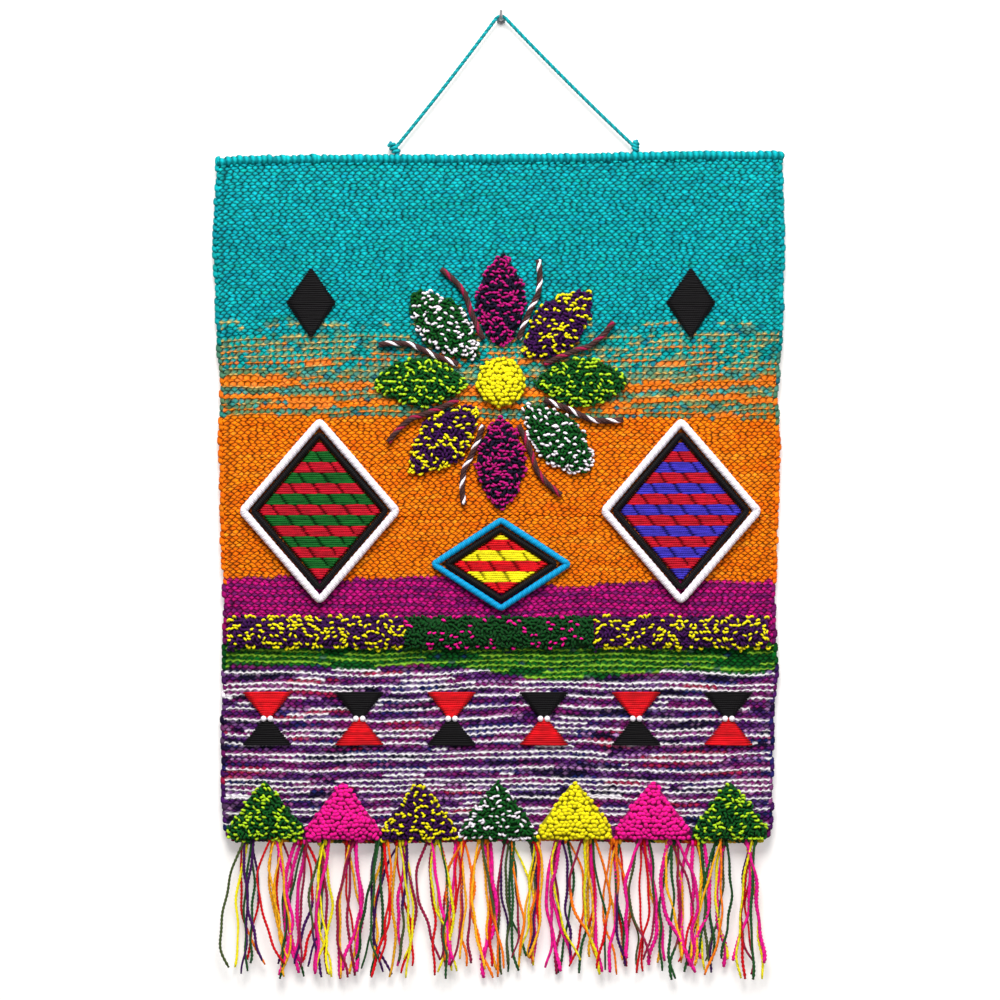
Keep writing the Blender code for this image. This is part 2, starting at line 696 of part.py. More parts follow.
def pile_band(parts):
    """A crowned band of pile across the cloth, in three lengths with lumpy edges."""
    rng = random.Random(12)
    names = ("band_left", "band_middle", "band_right")
    materials = ("purple_pile", "dark_green_pile", "purple_pile")
    middle = (BAND_TOP + BAND_BOTTOM) / 2
    half = (BAND_TOP - BAND_BOTTOM) / 2
    front = ((-1.0, 0.30), (-0.62, 0.86), (0.0, 1.0), (0.62, 0.86), (1.0, 0.30))
    for index, name in enumerate(names):
        start = BAND_JOINTS[index] + GAP
        end = BAND_JOINTS[index + 1] - GAP
        count = round((end - start) / BAND_STEP)
        vertices = []
        for i in range(count + 1):
            x = start + (end - start) * i / count
            shrink = 0.72 if i in (0, count) else 1.0
            spread_out = [half * (1.0 + rng.uniform(-0.16, 0.12)) for edge in range(2)]
            for s, depth in front:
                z = middle + s * (spread_out[0] if s < 0 else spread_out[1])
                lump = rng.uniform(-1.0, 1.0) * PILE_LUMP * (1.0 - abs(s))
                vertices.append((x, seat(x, z) - shrink * (PILE_HEIGHT * depth + lump), z))
            for s in (1.0, 0.0, -1.0):
                z = middle + s * (spread_out[0] if s < 0 else spread_out[1])
                vertices.append((x, seat(x, z), z))
        width = len(front) + 3
        faces = []
        for i in range(count):
            for k in range(width):
                a = i * width + k
                b = i * width + (k + 1) % width
                faces.append([a, b, b + width, a + width])
        for low in (0, count * width):
            faces.append([low, low + 1, low + 2, low + 6, low + 7])
            faces.append([low + 2, low + 3, low + 4, low + 5, low + 6])
        make_object(name, vertices, faces, materials[index], parts)


def hourglass_row(parts):
    """Small figures of two laid-stitch triangles that meet at their points."""
    left = left_edge(HOURGLASS_MIDDLE)
    right = right_edge(HOURGLASS_MIDDLE)
    for k in range(HOURGLASSES):
        x = left + (right - left) * (k + 0.5) / HOURGLASSES
        material = "black_stitch" if k % 2 else "red_stitch"
        stitched_panel(f"hourglass_{k + 1}", (x, HOURGLASS_MIDDLE),
                       lambda z: 0.0022 + HOURGLASS_WIDTH * abs(z) / HOURGLASS_HEIGHT,
                       HOURGLASS_HEIGHT, 2, material, parts)


def peak_reach(half_base, low, high):
    """Outline of a rounded triangle that stands on its base, seen from a point low above it."""
    slope = math.atan2(low + high, half_base)
    side = high * math.cos(slope)
    normals = ((-math.pi / 2, low), (math.pi / 2 - slope, side), (math.pi / 2 + slope, side))

    def reach(a):
        total = sum((max(0.0, math.cos(a - normal)) / distance) ** 9 for normal, distance in normals)
        return total ** (-1 / 9)
    return reach


def peak_row(parts):
    """Seven pointed pile pieces side by side on the lower edge."""
    materials = ("green_pile", "pink_pile", "purple_pile", "dark_green_pile", "yellow_pile",
                 "pink_pile", "green_pile")
    left = left_edge(PEAK_BASE) + PEAK_MARGIN
    right = right_edge(PEAK_BASE) - PEAK_MARGIN
    pitch = (right - left) / PEAKS
    low = PEAK_HEIGHT * 0.36
    for k in range(PEAKS):
        x = left + pitch * (k + 0.5)
        high = PEAK_HEIGHT - low
        reach = peak_reach(pitch * 0.5 * 1.18, low, high)
        clipped = lambda a, reach=reach: min(reach(a), (pitch / 2 - GAP) / max(abs(math.cos(a)), 0.2) / 1.03)
        pile_piece(f"peak_{k + 1}", (x, PEAK_BASE + low), clipped, PILE_HEIGHT, 60 + k, materials[k], parts, 18)


def main():
    clear_objects()
    scene = bpy.context.scene
    parts = bpy.data.collections.new("woven_wall_hanging")
    cutters = bpy.data.collections.new("cutters")
    scene.collection.children.link(parts)
    scene.collection.children.link(cutters)
    cutters.hide_render = True
    wall_hook(parts, cutters)
    hanging_cord(parts)
    for knot in KNOTS:
        cord_knot(knot, parts)
    woven_cloth(parts)
    fringe(parts, cutters)
    rosette(parts)
    lozenges(parts)
    pile_band(parts)
    hourglass_row(parts)
    peak_row(parts)


main()
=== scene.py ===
"""Woven wall hanging: weft-faced cloth, looped pile, laid stitches, couched cords, fringe, cord and hook."""

import math

import bpy
import numpy as np
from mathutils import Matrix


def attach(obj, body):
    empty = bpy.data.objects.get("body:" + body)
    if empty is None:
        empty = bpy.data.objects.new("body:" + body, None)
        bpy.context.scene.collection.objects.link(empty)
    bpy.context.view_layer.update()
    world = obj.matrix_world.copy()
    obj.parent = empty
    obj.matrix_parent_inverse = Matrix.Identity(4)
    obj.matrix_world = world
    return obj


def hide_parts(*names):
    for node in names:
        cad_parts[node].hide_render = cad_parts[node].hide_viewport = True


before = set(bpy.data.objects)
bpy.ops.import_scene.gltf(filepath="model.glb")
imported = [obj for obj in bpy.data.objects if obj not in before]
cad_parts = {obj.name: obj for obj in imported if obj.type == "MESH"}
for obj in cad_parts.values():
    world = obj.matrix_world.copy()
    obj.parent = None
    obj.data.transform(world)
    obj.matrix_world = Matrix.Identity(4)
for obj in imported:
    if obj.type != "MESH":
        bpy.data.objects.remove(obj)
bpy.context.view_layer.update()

# Camera, and the part of the wall's plane that it frames
CAMERA_DISTANCE = 3.2
FRAME_WIDTH = 0.7067
FRAME_MIDDLE = (-0.0007, -0.3392)
SENSOR_WIDTH = 36.0

# Wall behind, sky and lights. Columns of the lights: name, place, size, power, colour
WALL_DEPTH = 0.0006
WALL_HALF_WIDTH = 1.6
WALL_FOOT = -1.9
WALL_TOP = 1.3
WALL_COLOUR = (0.72, 0.70, 0.69, 1.0)
WALL_GLOW = 0.31
SKY_STRENGTH = 0.30
PURE_WHITE = (1.0, 1.0, 1.0, 1.0)
LIT_POINT = (0.0, 0.0, -0.34)
LIGHTS = (
    ("key", (-0.09, -1.35, 1.15), 1.1, 67.0, (1.0, 0.985, 0.96)),
    ("fill", (1.3, -1.6, -0.2), 1.4, 8.0, (0.97, 0.985, 1.0)),
)

# Materials: sizes of their noises, as waves to a metre, and how strong and deep their bumps are
FIBRE_SCALE = 1500.0
PATCH_SCALE = 160.0
SCRATCH_SCALE = 2600.0
TARNISH_SCALE = 420.0
YARN_BUMP = {"Strength": 0.55, "Distance": 0.0003}
STEEL_BUMP = {"Strength": 0.2, "Distance": 0.0001}

# Directions
SIDEWAYS = (1.0, 0.0, 0.0)
BACKWARDS = (0.0, 1.0, 0.0)
UPWARDS = (0.0, 0.0, 1.0)

# Shape of the cloth, as in the solids
CLOTH_MIDDLE = 0.0040
CLOTH_HALF = 0.0020
GAP = 0.0003
BULGE = 0.0011
BULGE_WIDTH = 0.310
BULGE_HEIGHT = 0.370
BOTTOM_EDGE = -0.5785
BOTTOM_WAVE = 0.0008
CORNER_CUT = 0.0055
CORNER_HEIGHT = 0.012

# Side edges from the bottom up. Columns: height z, left edge x, right edge x
SELVEDGES = np.array((
    (-0.578, -0.1968, 0.1918),
    (-0.500, -0.1978, 0.1926),
    (-0.460, -0.1970, 0.1956),
    (-0.415, -0.1960, 0.1938),
    (-0.350, -0.1984, 0.1962),
    (-0.300, -0.1993, 0.1975),
    (-0.262, -0.1988, 0.1955),
    (-0.225, -0.2006, 0.1988),
    (-0.160, -0.2035, 0.2005),
    (-0.092, -0.2012, 0.1992),
))

# Upper edge from left to right. Columns: x, height z
TOP_EDGE = np.array((
    (-0.201, -0.0972),
    (-0.186, -0.0955),
    (-0.128, -0.0945),
    (-0.022, -0.0945),
    (0.050, -0.0938),
    (0.137, -0.0920),
    (0.200, -0.0922),
))

# Weave: bumps of weft across, rows of weft down, and how far the bumps stand up
BUMPS = 81
ROWS = 238
ROW_EASE = 0.09
HEM_ROWS = 4
WEAVE_WIDTH = 0.4
SIDE_INSET = 0.0008
EDGE_ROUNDING = 0.0022
ROLL_RADIUS = 0.0034
ROLL_LEVEL = -0.095
ROLL_DROP = 0.0060
ROLL_BELLY = 0.42
ROLL_SAG = 0.0007
RELIEF = 0.0019
CLOTH_CORE = 0.0006
ROW_SWING = 0.30
ROW_WANDER = 0.20
ROW_SLIP = 0.24
SLUB_SWING = 0.21
SLUB_THIN = 0.03
DASH_THIN = 0.30
FRAY = 0.22
BUMP_SHIFT = 0.85
SEAM_INSET = 0.0056
SEAM_WIDTH = 0.0009
WRAP_PITCH = 0.0043
WRAP_RADIUS = 0.00218
WRAP_INSET = 0.0012
SELVEDGE_TOP = -0.0975
SELVEDGE_PITCH = 0.0047
SELVEDGE_RADIUS = 0.00225
SELVEDGE_INSET = 0.0024

# Length of yarn for one turn of its spin, and the spin's step from row to row
SPIN_TURN = 0.0016
SPIN_STEP = 0.0013

# Slow waves of the rows. Columns: reach, waves across, waves down, start
ROW_WAVES = ((0.0011, 21.0, 9.0, 0.0), (0.0008, 47.0, -23.0, 1.0), (0.0005, 90.0, 61.0, 0.0))

# Heights of the colour bands' boundaries
BLEND_TOP = -0.2130
BLEND_BOTTOM = -0.2810
MAGENTA_TOP = -0.3960
GREEN_TOP = -0.4390
PURPLE_TOP = -0.4600

# Hanging cord, hook wire and knots
CORD_RADIUS = 0.00115
CORD_TURN = 0.0056
CORD_BEND = 0.0046
CORD_DEPTH = 0.0050
CORD_SAG = 0.0012
CORD_PRESS = 0.25
CORD_FULLNESS = 1.22
CORD_STEP = 0.00075
CORD_TUCK = 0.0034
KNOT_TURNS = 1.30
WIRE_RADIUS = 0.0011
KNOT_CLEAR = 0.35
KNOT_START = -1.3
KNOT_YARN = 1.15
KNOT_STEP = 0.0007

# Knots. Columns: name, middle x, half length, half width, lean of the axis, where the cord enters x, z
KNOTS = (
    ("cord_knot_left", -0.0763, 0.0049, 0.0029, 123, -0.0752, -0.0912),
    ("cord_knot_right", 0.0953, 0.0042, 0.0026, 79, 0.0946, -0.0900),
)

# Fringe
BUNCHES = 20
FRINGE_MARGIN = 0.0125
FRINGE_LENGTH = 0.0990
STRIP_HEIGHT = 0.0040
HEADING_RADIUS = 0.0015
HEADING_TURN = 0.0060
HEADING_STEP = 0.0011
STRANDS_IN_BUNCH = 8
BUNCH_WIDTH = 0.0085
STRAND_POINTS = 34
FRINGE_BACK = 0.0016
FRINGE_FRONT = 0.0078
STRAND_TURN = 0.0058
STRAND_START = 0.0012
STRAND_BELLY = 0.0058
STRAND_WANDER = 0.0011
BACKMOST = -0.0024
LENGTH_SPREAD = 0.016
MEETING_SPREAD = 0.0048
TIP_SPREAD = 0.0046
ROOT_KNOT_RADIUS = 0.0010

# Waves of a loose yarn. Columns: sway, turns in radians over its length
STRAND_WAVES = ((0.0026, 4.8), (0.0017, 9.5), (0.0008, 21.0))

# How far a ply's middle lies from a cord's middle, as a share of the cord's radius, by number of plies
PLY_OFFSET = {2: 0.36, 4: 0.50}

# Rosette
ROSETTE = (0.0, -0.256)
PETALS = 8
PETAL_RING = 0.0570
PETAL_LENGTH = 0.0320
PETAL_WIDTH = 0.0172
PETAL_POINT = 1.5
CENTRE_RADIUS = 0.0170
PILE_HEIGHT = 0.0075
PILE_GROUND = 0.0026
RAY_START = 0.0330
RAY_END = 0.0900
RAY_RADIUS = 0.0022
RAY_SWAY = 0.012
RAY_CURL = 0.24
RAY_TURN = 0.0145
RAY_STEP = 0.0012

# Loops and bobbles of pile. Columns: radius, half width, height, points along, sides, share of the colour
# kept at the foot, as painted shade
LOOP = (0.00086, 0.00125, 0.0021, 6, 5, 0.50)
BOBBLE = (0.00146, 0.00088, 0.0006, 5, 6, 0.74)
LOOP_PITCH = 0.0027
BOBBLE_PITCH = 0.0031
BAND_PITCH = 0.0028
LOOP_ROW = 0.0062
ACCENT_RISE = 0.0006
ACCENT_GIRTH = 0.98

# Laid-stitch lozenges. Columns: name, middle x, middle z, half width, half height, outer cord
LOZENGES = (
    ("lozenge_left", -0.128, -0.347, 0.0430, 0.0500, 0.0029),
    ("lozenge_right", 0.127, -0.347, 0.0430, 0.0500, 0.0029),
    ("lozenge_middle", 0.0, -0.3845, 0.0330, 0.0215, 0.0024),
)
INNER_CORD_RADIUS = 0.0022
WRAP_LENGTH = 0.0042
WRAP_RIPPLE = 0.12
WRAP_STEP = 0.0010
SMALL_LOZENGES = (("spark_left", -0.134, -0.200), ("spark_right", 0.134, -0.200))
SPARK_HALF_WIDTH = 0.0175
SPARK_HALF_HEIGHT = 0.0250
STITCH_PITCH = 0.00150
STITCH_LENGTH = 0.0170
STITCH_GIRTH = 0.61
STITCH_LIFT = 0.0016
STITCH_DIP = 0.0016
STITCH_WAVER = 0.00022
SHORTEST_STITCH = 0.004
STRIPE_ROWS = 5

# Pile band, hourglasses and peaks
BAND_TOP = -0.4215
BAND_BOTTOM = -0.4435
BAND_JOINTS = (-0.1925, -0.0680, 0.0660, 0.1885)
HOURGLASSES = 6
HOURGLASS_HEIGHT = 0.0190
HOURGLASS_WIDTH = 0.0155
HOURGLASS_MIDDLE = -0.4935
HOURGLASS_WAIST = 0.0022
BEAD_RADIUS = 0.0021
BEAD_APART = 0.0024
BEAD_LIFT = 0.0022
PEAKS = 7
PEAK_BASE = -0.5765
PEAK_HEIGHT = 0.0400
PEAK_MARGIN = 0.0030
PEAK_OVERHANG = 0.0024
PEAK_MIDDLE = 0.36
PEAK_SPREAD = 1.18


def linear(red, green, blue):
    """A screen colour from 0 to 255 as linear light."""
    c = np.array((red, green, blue)) / 255.0
    return np.where(c <= 0.04045, c / 12.92, ((c + 0.055) / 1.055) ** 2.4)


# Yarn colours
TEAL = linear(8, 164, 172)
DEEP_TEAL = linear(0, 122, 146)
ORANGE = linear(255, 124, 8)
GOLD = linear(252, 166, 44)
NAVY = linear(22, 34, 96)
OLIVE = linear(98, 118, 62)
SEA_GREEN = linear(0, 146, 118)
BRASS = linear(222, 178, 92)
MAGENTA = linear(186, 16, 118)
PLUM = linear(112, 22, 96)
PURPLE = linear(74, 24, 96)
LILAC = linear(208, 150, 214)
CRIMSON = linear(150, 24, 66)
WHITE = linear(246, 238, 248)
BRIGHT_GREEN = linear(124, 178, 44)
DARK_GREEN = linear(8, 78, 26)
GREEN = linear(4, 92, 26)
LIME = linear(182, 224, 34)
YELLOW = linear(246, 232, 16)
HOT_PINK = linear(242, 18, 146)
RED = linear(218, 4, 22)
CARMINE = linear(186, 4, 34)
BLUE = linear(58, 46, 178)
BLACK = linear(7, 5, 8)
SKY = linear(0, 152, 208)
BROWN = linear(58, 34, 34)
VIOLET = linear(66, 10, 86)
AMBER = linear(248, 178, 24)
LEAF = linear(30, 80, 36)
INK = linear(24, 13, 48)


def left_edge(z):
    return np.interp(z, SELVEDGES[:, 0], SELVEDGES[:, 1])


def right_edge(z):
    return np.interp(z, SELVEDGES[:, 0], SELVEDGES[:, 2])


def top_edge(x):
    return np.interp(x, TOP_EDGE[:, 0], TOP_EDGE[:, 1])


def bottom_edge(x):
    return BOTTOM_EDGE + BOTTOM_WAVE * np.sin(x * math.tau / 0.23 + 0.9)


def bulge(x, z):
    """How far the cloth stands off its flattest place: one long wave each way."""
    across = np.sin(x * math.tau / BULGE_WIDTH + 0.6)
    down = np.cos(z * math.tau / BULGE_HEIGHT + 0.4)
    return BULGE * (1.0 + across * down)


def middle_depth(x, z):
    """Depth of the cloth's middle."""
    return -(CLOTH_MIDDLE + bulge(x, z))


def corner_cut(z):
    """How far the side edges draw in at the lower corners."""
    return CORNER_CUT * np.clip((BOTTOM_EDGE + CORNER_HEIGHT - z) / CORNER_HEIGHT, 0.0, 1.0) ** 2


def seat(x, z):
    """Depth of the cloth's front, where sewn pieces lie."""
    return -(CLOTH_MIDDLE + CLOTH_HALF + bulge(x, z) + GAP)


def unit(vectors):
    """Vectors of length one along the last axis."""
    return vectors / np.maximum(np.linalg.norm(vectors, axis=-1, keepdims=True), 1e-12)


def make_piece(name, node, shape, finish, gap=0.0):
    """A piece that stands for a node, from its points, polygons, colours and twist phases, and from how far
    each point lies in a gap between yarns, which the finish turns into painted shade and a dip in the bump."""
    vertices, polygons, colour, twist = shape
    mesh = bpy.data.meshes.new(name)
    corners = np.concatenate([p.ravel() for p in polygons]).astype(np.int32)
    sizes = np.concatenate([np.full(len(p), p.shape[1], np.int32) for p in polygons])
    starts = np.concatenate([[0], np.cumsum(sizes)[:-1]]).astype(np.int32)
    mesh.vertices.add(len(vertices))
    mesh.vertices.foreach_set("co", np.asarray(vertices, np.float32).ravel())
    mesh.loops.add(len(corners))
    mesh.loops.foreach_set("vertex_index", corners)
    mesh.polygons.add(len(sizes))
    mesh.polygons.foreach_set("loop_start", starts)
    mesh.update(calc_edges=True)
    rgba = np.ones((len(vertices), 4), np.float32)
    rgba[:, :3] = np.clip(colour, 0.0, 1.0)
    mesh.attributes.new("yarn_colour", "FLOAT_COLOR", "POINT").data.foreach_set("color", rgba.ravel())
    for key, values in (("twist", twist), ("gap", gap)):
        values = np.ascontiguousarray(np.broadcast_to(np.asarray(values, np.float32), (len(vertices),)))
        mesh.attributes.new(key, "FLOAT", "POINT").data.foreach_set("value", values)
    mesh.shade_smooth()
    mesh.materials.append(finish)
    piece = bpy.data.objects.new(name, mesh)
    bpy.context.scene.collection.objects.link(piece)
    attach(piece, "root")
    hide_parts(node)
    return piece


def tubes(paths, radii, sides, across, colours, flat=1.0, closed=False, twists=1.0):
    """Round yarns: each path is a row of points, and at every point a ring of sides points lies at
    path + radius * (cos a * across + sin a * flat * up), where up is the tangent crossed with across.

    paths is tubes by points by 3, radii broadcasts to tubes by points, and across is one direction for
    each tube that its path never follows. Returns points, polygons, colours and twist phases."""
    count, stations = paths.shape[:2]
    if closed:
        tangents = unit(np.roll(paths, -1, axis=1) - np.roll(paths, 1, axis=1))
    else:
        tangents = unit(np.gradient(paths, axis=1))
    side = np.broadcast_to(np.asarray(across, float), (count, 3))[:, None, :]
    up = unit(np.cross(tangents, side))
    side = unit(np.cross(up, tangents))
    angles = np.arange(sides) * math.tau / sides
    radii = np.broadcast_to(np.asarray(radii, float), (count, stations))[:, :, None, None]
    ring = (np.cos(angles)[:, None] * side[:, :, None, :]
            + flat * np.sin(angles)[:, None] * up[:, :, None, :])
    points = (paths[:, :, None, :] + radii * ring).reshape(-1, 3)
    index = np.arange(count * stations * sides).reshape(count, stations, sides)
    beside = np.roll(index, -1, axis=2)
    if closed:
        low, high = index, np.roll(index, -1, axis=1)
        low_b, high_b = beside, np.roll(beside, -1, axis=1)
    else:
        low, high, low_b, high_b = index[:, :-1], index[:, 1:], beside[:, :-1], beside[:, 1:]
    polygons = [np.stack([low, low_b, high_b, high], axis=-1).reshape(-1, 4)]
    if not closed:
        polygons += [index[:, 0, ::-1], index[:, -1]]
    steps = np.linalg.norm(np.diff(paths, axis=1), axis=2)
    along = np.concatenate([np.zeros((count, 1)), np.cumsum(steps, axis=1)], axis=1)
    phase = (along[:, :, None] / SPIN_TURN * twists + angles / math.tau * 2).ravel()
    if np.ndim(colours) < 3:
        colours = np.asarray(colours, float).reshape(-1, 1, 1, 3)
    else:
        colours = np.asarray(colours)[:, :, None, :]
    colours = np.broadcast_to(colours, (count, stations, sides, 3))
    return points, polygons, colours.reshape(-1, 3), phase


def shaded_where_touching(tube, sides, depth):
    """A result of tubes with painted shade where a turn meets its neighbours: its colours darker by the
    depth there, colour * (1 - depth * |cos(ring angle)| ** 2)."""
    points, polygons, colours, phase = tube
    touching_shade = np.tile(np.abs(np.cos(np.arange(sides) * math.tau / sides)) ** 2, len(points) // sides)
    return points, polygons, colours * (1.0 - depth * touching_shade)[:, None], phase


def joined(parts):
    """Several results of tubes or pads as one: points, polygons, colours and phases."""
    points, polygons, colours, phases = [], [], [], []
    start = 0
    for part in parts:
        points.append(part[0])
        polygons += [p + start for p in part[1]]
        colours.append(part[2])
        phases.append(part[3])
        start += len(part[0])
    return np.concatenate(points), polygons, np.concatenate(colours), np.concatenate(phases)


class Value:
    """A shader number: arithmetic on it adds Math nodes."""

    def __init__(self, finish, socket):
        self.finish = finish
        self.socket = socket

    def maths(self, operation, *others):
        return self.finish.node("ShaderNodeMath", {"operation": operation}, self, *others)

    def __add__(self, other):
        return self.maths("ADD", other)

    def __sub__(self, other):
        return self.maths("SUBTRACT", other)

    def __rsub__(self, other):
        return self.finish.node("ShaderNodeMath", {"operation": "SUBTRACT"}, other, self)

    def __mul__(self, other):
        return self.maths("MULTIPLY", other)

    __radd__ = __add__
    __rmul__ = __mul__


class Finish:
    """One material's nodes."""

    def __init__(self, name):
        self.material = bpy.data.materials.new(name)
        self.material.use_nodes = True
        self.tree = self.material.node_tree
        self.shader = self.tree.nodes["Principled BSDF"]

    def put(self, target, value):
        if isinstance(value, Value):
            self.tree.links.new(value.socket, target)
        elif value is not None:
            target.default_value = value

    def node(self, kind, settings, *values, output=0, **named):
        """A node of a type, its settings first, then its sockets by order or by name."""
        made = self.tree.nodes.new(kind)
        for key, setting in settings.items():
            setattr(made, key, setting)
        for target, value in zip(made.inputs, values):
            self.put(target, value)
        for key, value in named.items():
            self.put(made.inputs[key.replace("_", " ")], value)
        return Value(self, made.outputs[output])

    def shade(self, **values):
        """Sockets of the surface shader, by name."""
        for key, value in values.items():
            self.put(self.shader.inputs[key.replace("_", " ")], value)

    def blend(self, share, first, second, kind):
        made = self.tree.nodes.new("ShaderNodeMix")
        made.data_type = "RGBA"
        made.blend_type = kind
        for key, value in ((0, share), (6, first), (7, second)):
            self.put(made.inputs[key], value)
        return Value(self, made.outputs[2])


def yarn_finish(name, sheen=0.02, rough=0.82, fuzz=0.5, twist_depth=0.5, colour_swing=0.22, shine=0.14):
    """Spun yarn: its own colour, streaked along the fibres, with painted shade that darkens it in the gaps
    between yarns and in the grooves between plies, and with ply ridges and fine fuzz in the bump."""
    finish = Finish(name)
    place = finish.node("ShaderNodeTexCoord", {}, output=3)
    base = finish.node("ShaderNodeAttribute", {"attribute_name": "yarn_colour"}, output=0)
    phase = finish.node("ShaderNodeAttribute", {"attribute_name": "twist"}, output=2)
    gap = finish.node("ShaderNodeAttribute", {"attribute_name": "gap"}, output=2)
    ply = (phase * math.tau).maths("SINE") * 0.5 + 0.5
    fibre = finish.node("ShaderNodeTexNoise", {}, Vector=place, Scale=FIBRE_SCALE, Detail=3.0,
                        Roughness=0.6)
    patch = finish.node("ShaderNodeTexNoise", {}, Vector=place, Scale=PATCH_SCALE, Detail=2.0)
    hollow = gap.maths("POWER", 2.1)
    # Painted shade: the ply term lightens the ply ridges and darkens the grooves between plies.
    light = fibre + patch * 0.8 + ply * 0.5
    light = light * colour_swing + (1.0 - colour_swing * 1.15)
    # Painted shade: the colour darkens by up to 0.90 where the gap attribute marks a gap between yarns.
    light = light * (1.0 - hollow * 0.90)
    grey = finish.node("ShaderNodeCombineColor", {}, light, light, light)
    finish.shade(Base_Color=finish.blend(1.0, base, grey, "MULTIPLY"), Roughness=fibre * 0.2 + (rough - 0.1))
    height = ply * twist_depth + fibre * fuzz - hollow * 1.5
    bump = finish.node("ShaderNodeBump", {}, Height=height, **YARN_BUMP)
    finish.shade(Normal=bump, Sheen_Weight=sheen, Sheen_Roughness=0.5, Specular_IOR_Level=shine)
    return finish.material


def steel_finish():
    """Dull drawn wire: grey metal with fine scratches and slight dark tarnish."""
    finish = Finish("hook_steel")
    place = finish.node("ShaderNodeTexCoord", {}, output=3)
    scratch = finish.node("ShaderNodeTexNoise", {}, Vector=place, Scale=SCRATCH_SCALE, Detail=3.0)
    tarnish = finish.node("ShaderNodeTexNoise", {}, Vector=place, Scale=TARNISH_SCALE, Detail=2.0)
    light = tarnish * 0.30 + 0.18
    grey = finish.node("ShaderNodeCombineColor", {}, light, light, light * 1.04)
    bump = finish.node("ShaderNodeBump", {}, Height=scratch, **STEEL_BUMP)
    finish.shade(Base_Color=grey, Roughness=scratch * 0.25 + 0.30, Normal=bump, Metallic=1.0)
    return finish.material


def set_camera():
    """A long lens straight in front, framed as the photograph is."""
    data = bpy.data.cameras.new("camera")
    data.lens = SENSOR_WIDTH * CAMERA_DISTANCE / FRAME_WIDTH
    data.sensor_width = SENSOR_WIDTH
    data.clip_end = 20.0
    camera = bpy.data.objects.new("camera", data)
    camera.location = (FRAME_MIDDLE[0], -CAMERA_DISTANCE - CLOTH_MIDDLE, FRAME_MIDDLE[1])
    camera.rotation_euler = (math.pi / 2, 0.0, 0.0)
    bpy.context.scene.collection.objects.link(camera)
    bpy.context.scene.camera = camera


def area_light(name, place, size, power, colour):
    """A soft square light that faces the cloth's middle."""
    data = bpy.data.lights.new(name, "AREA")
    data.size = size
    data.energy = power
    data.color = colour
    light = bpy.data.objects.new(name, data)
    light.location = place
    aim = np.array(LIT_POINT) - np.array(place)
    tilt = math.acos(-aim[2] / np.linalg.norm(aim))
    light.rotation_euler = (tilt, 0.0, math.atan2(aim[1], aim[0]) - math.pi / 2)
    bpy.context.scene.collection.objects.link(light)


def set_stage():
    """White wall behind, one soft key from above, a weak fill from the right and an even pale sky."""
    wall = Finish("wall_paint")
    wall.shade(Base_Color=WALL_COLOUR, Roughness=0.9, Emission_Color=PURE_WHITE, Emission_Strength=WALL_GLOW)
    behind = wall.node("ShaderNodeNewGeometry", {}, output=6)
    clear = wall.node("ShaderNodeBsdfTransparent", {})
    mixed = wall.node("ShaderNodeMixShader", {}, behind, Value(wall, wall.shader.outputs[0]), clear)
    wall.tree.links.new(mixed.socket, wall.tree.nodes["Material Output"].inputs["Surface"])
    mesh = bpy.data.meshes.new("wall")
    half = WALL_HALF_WIDTH
    corners = [(-half, WALL_FOOT), (half, WALL_FOOT), (half, WALL_TOP), (-half, WALL_TOP)]
    mesh.from_pydata([(x, WALL_DEPTH, z) for x, z in corners], [], [(0, 1, 2, 3)])
    mesh.materials.append(wall.material)
    backdrop = bpy.data.objects.new("wall", mesh)
    bpy.context.scene.collection.objects.link(backdrop)
    for light in LIGHTS:
        area_light(*light)
    world = bpy.data.worlds.new("sky")
    world.use_nodes = True
    sky = world.node_tree.nodes["Background"].inputs
    sky["Color"].default_value = PURE_WHITE
    sky["Strength"].default_value = SKY_STRENGTH
    bpy.context.scene.world = world
    bpy.context.scene.view_settings.view_transform = "Standard"


def knot_middle(knot):
    """The middle of a knot that sits on the rolled edge."""
    middle_x, half_length, half_width, lean = knot[1:5]
    lean = math.radians(lean)
    drop = math.hypot(half_length * math.sin(lean), half_width * math.cos(lean))
    z = max(top_edge(middle_x - 0.003), top_edge(middle_x + 0.003)) + GAP + drop
    return np.array([middle_x, middle_depth(middle_x, z), z])


def knot_axis(knot):
    """Direction of a knot's axis, which leans as the table says."""
    lean = math.radians(knot[4])
    return np.array([math.cos(lean), 0.0, math.sin(lean)])


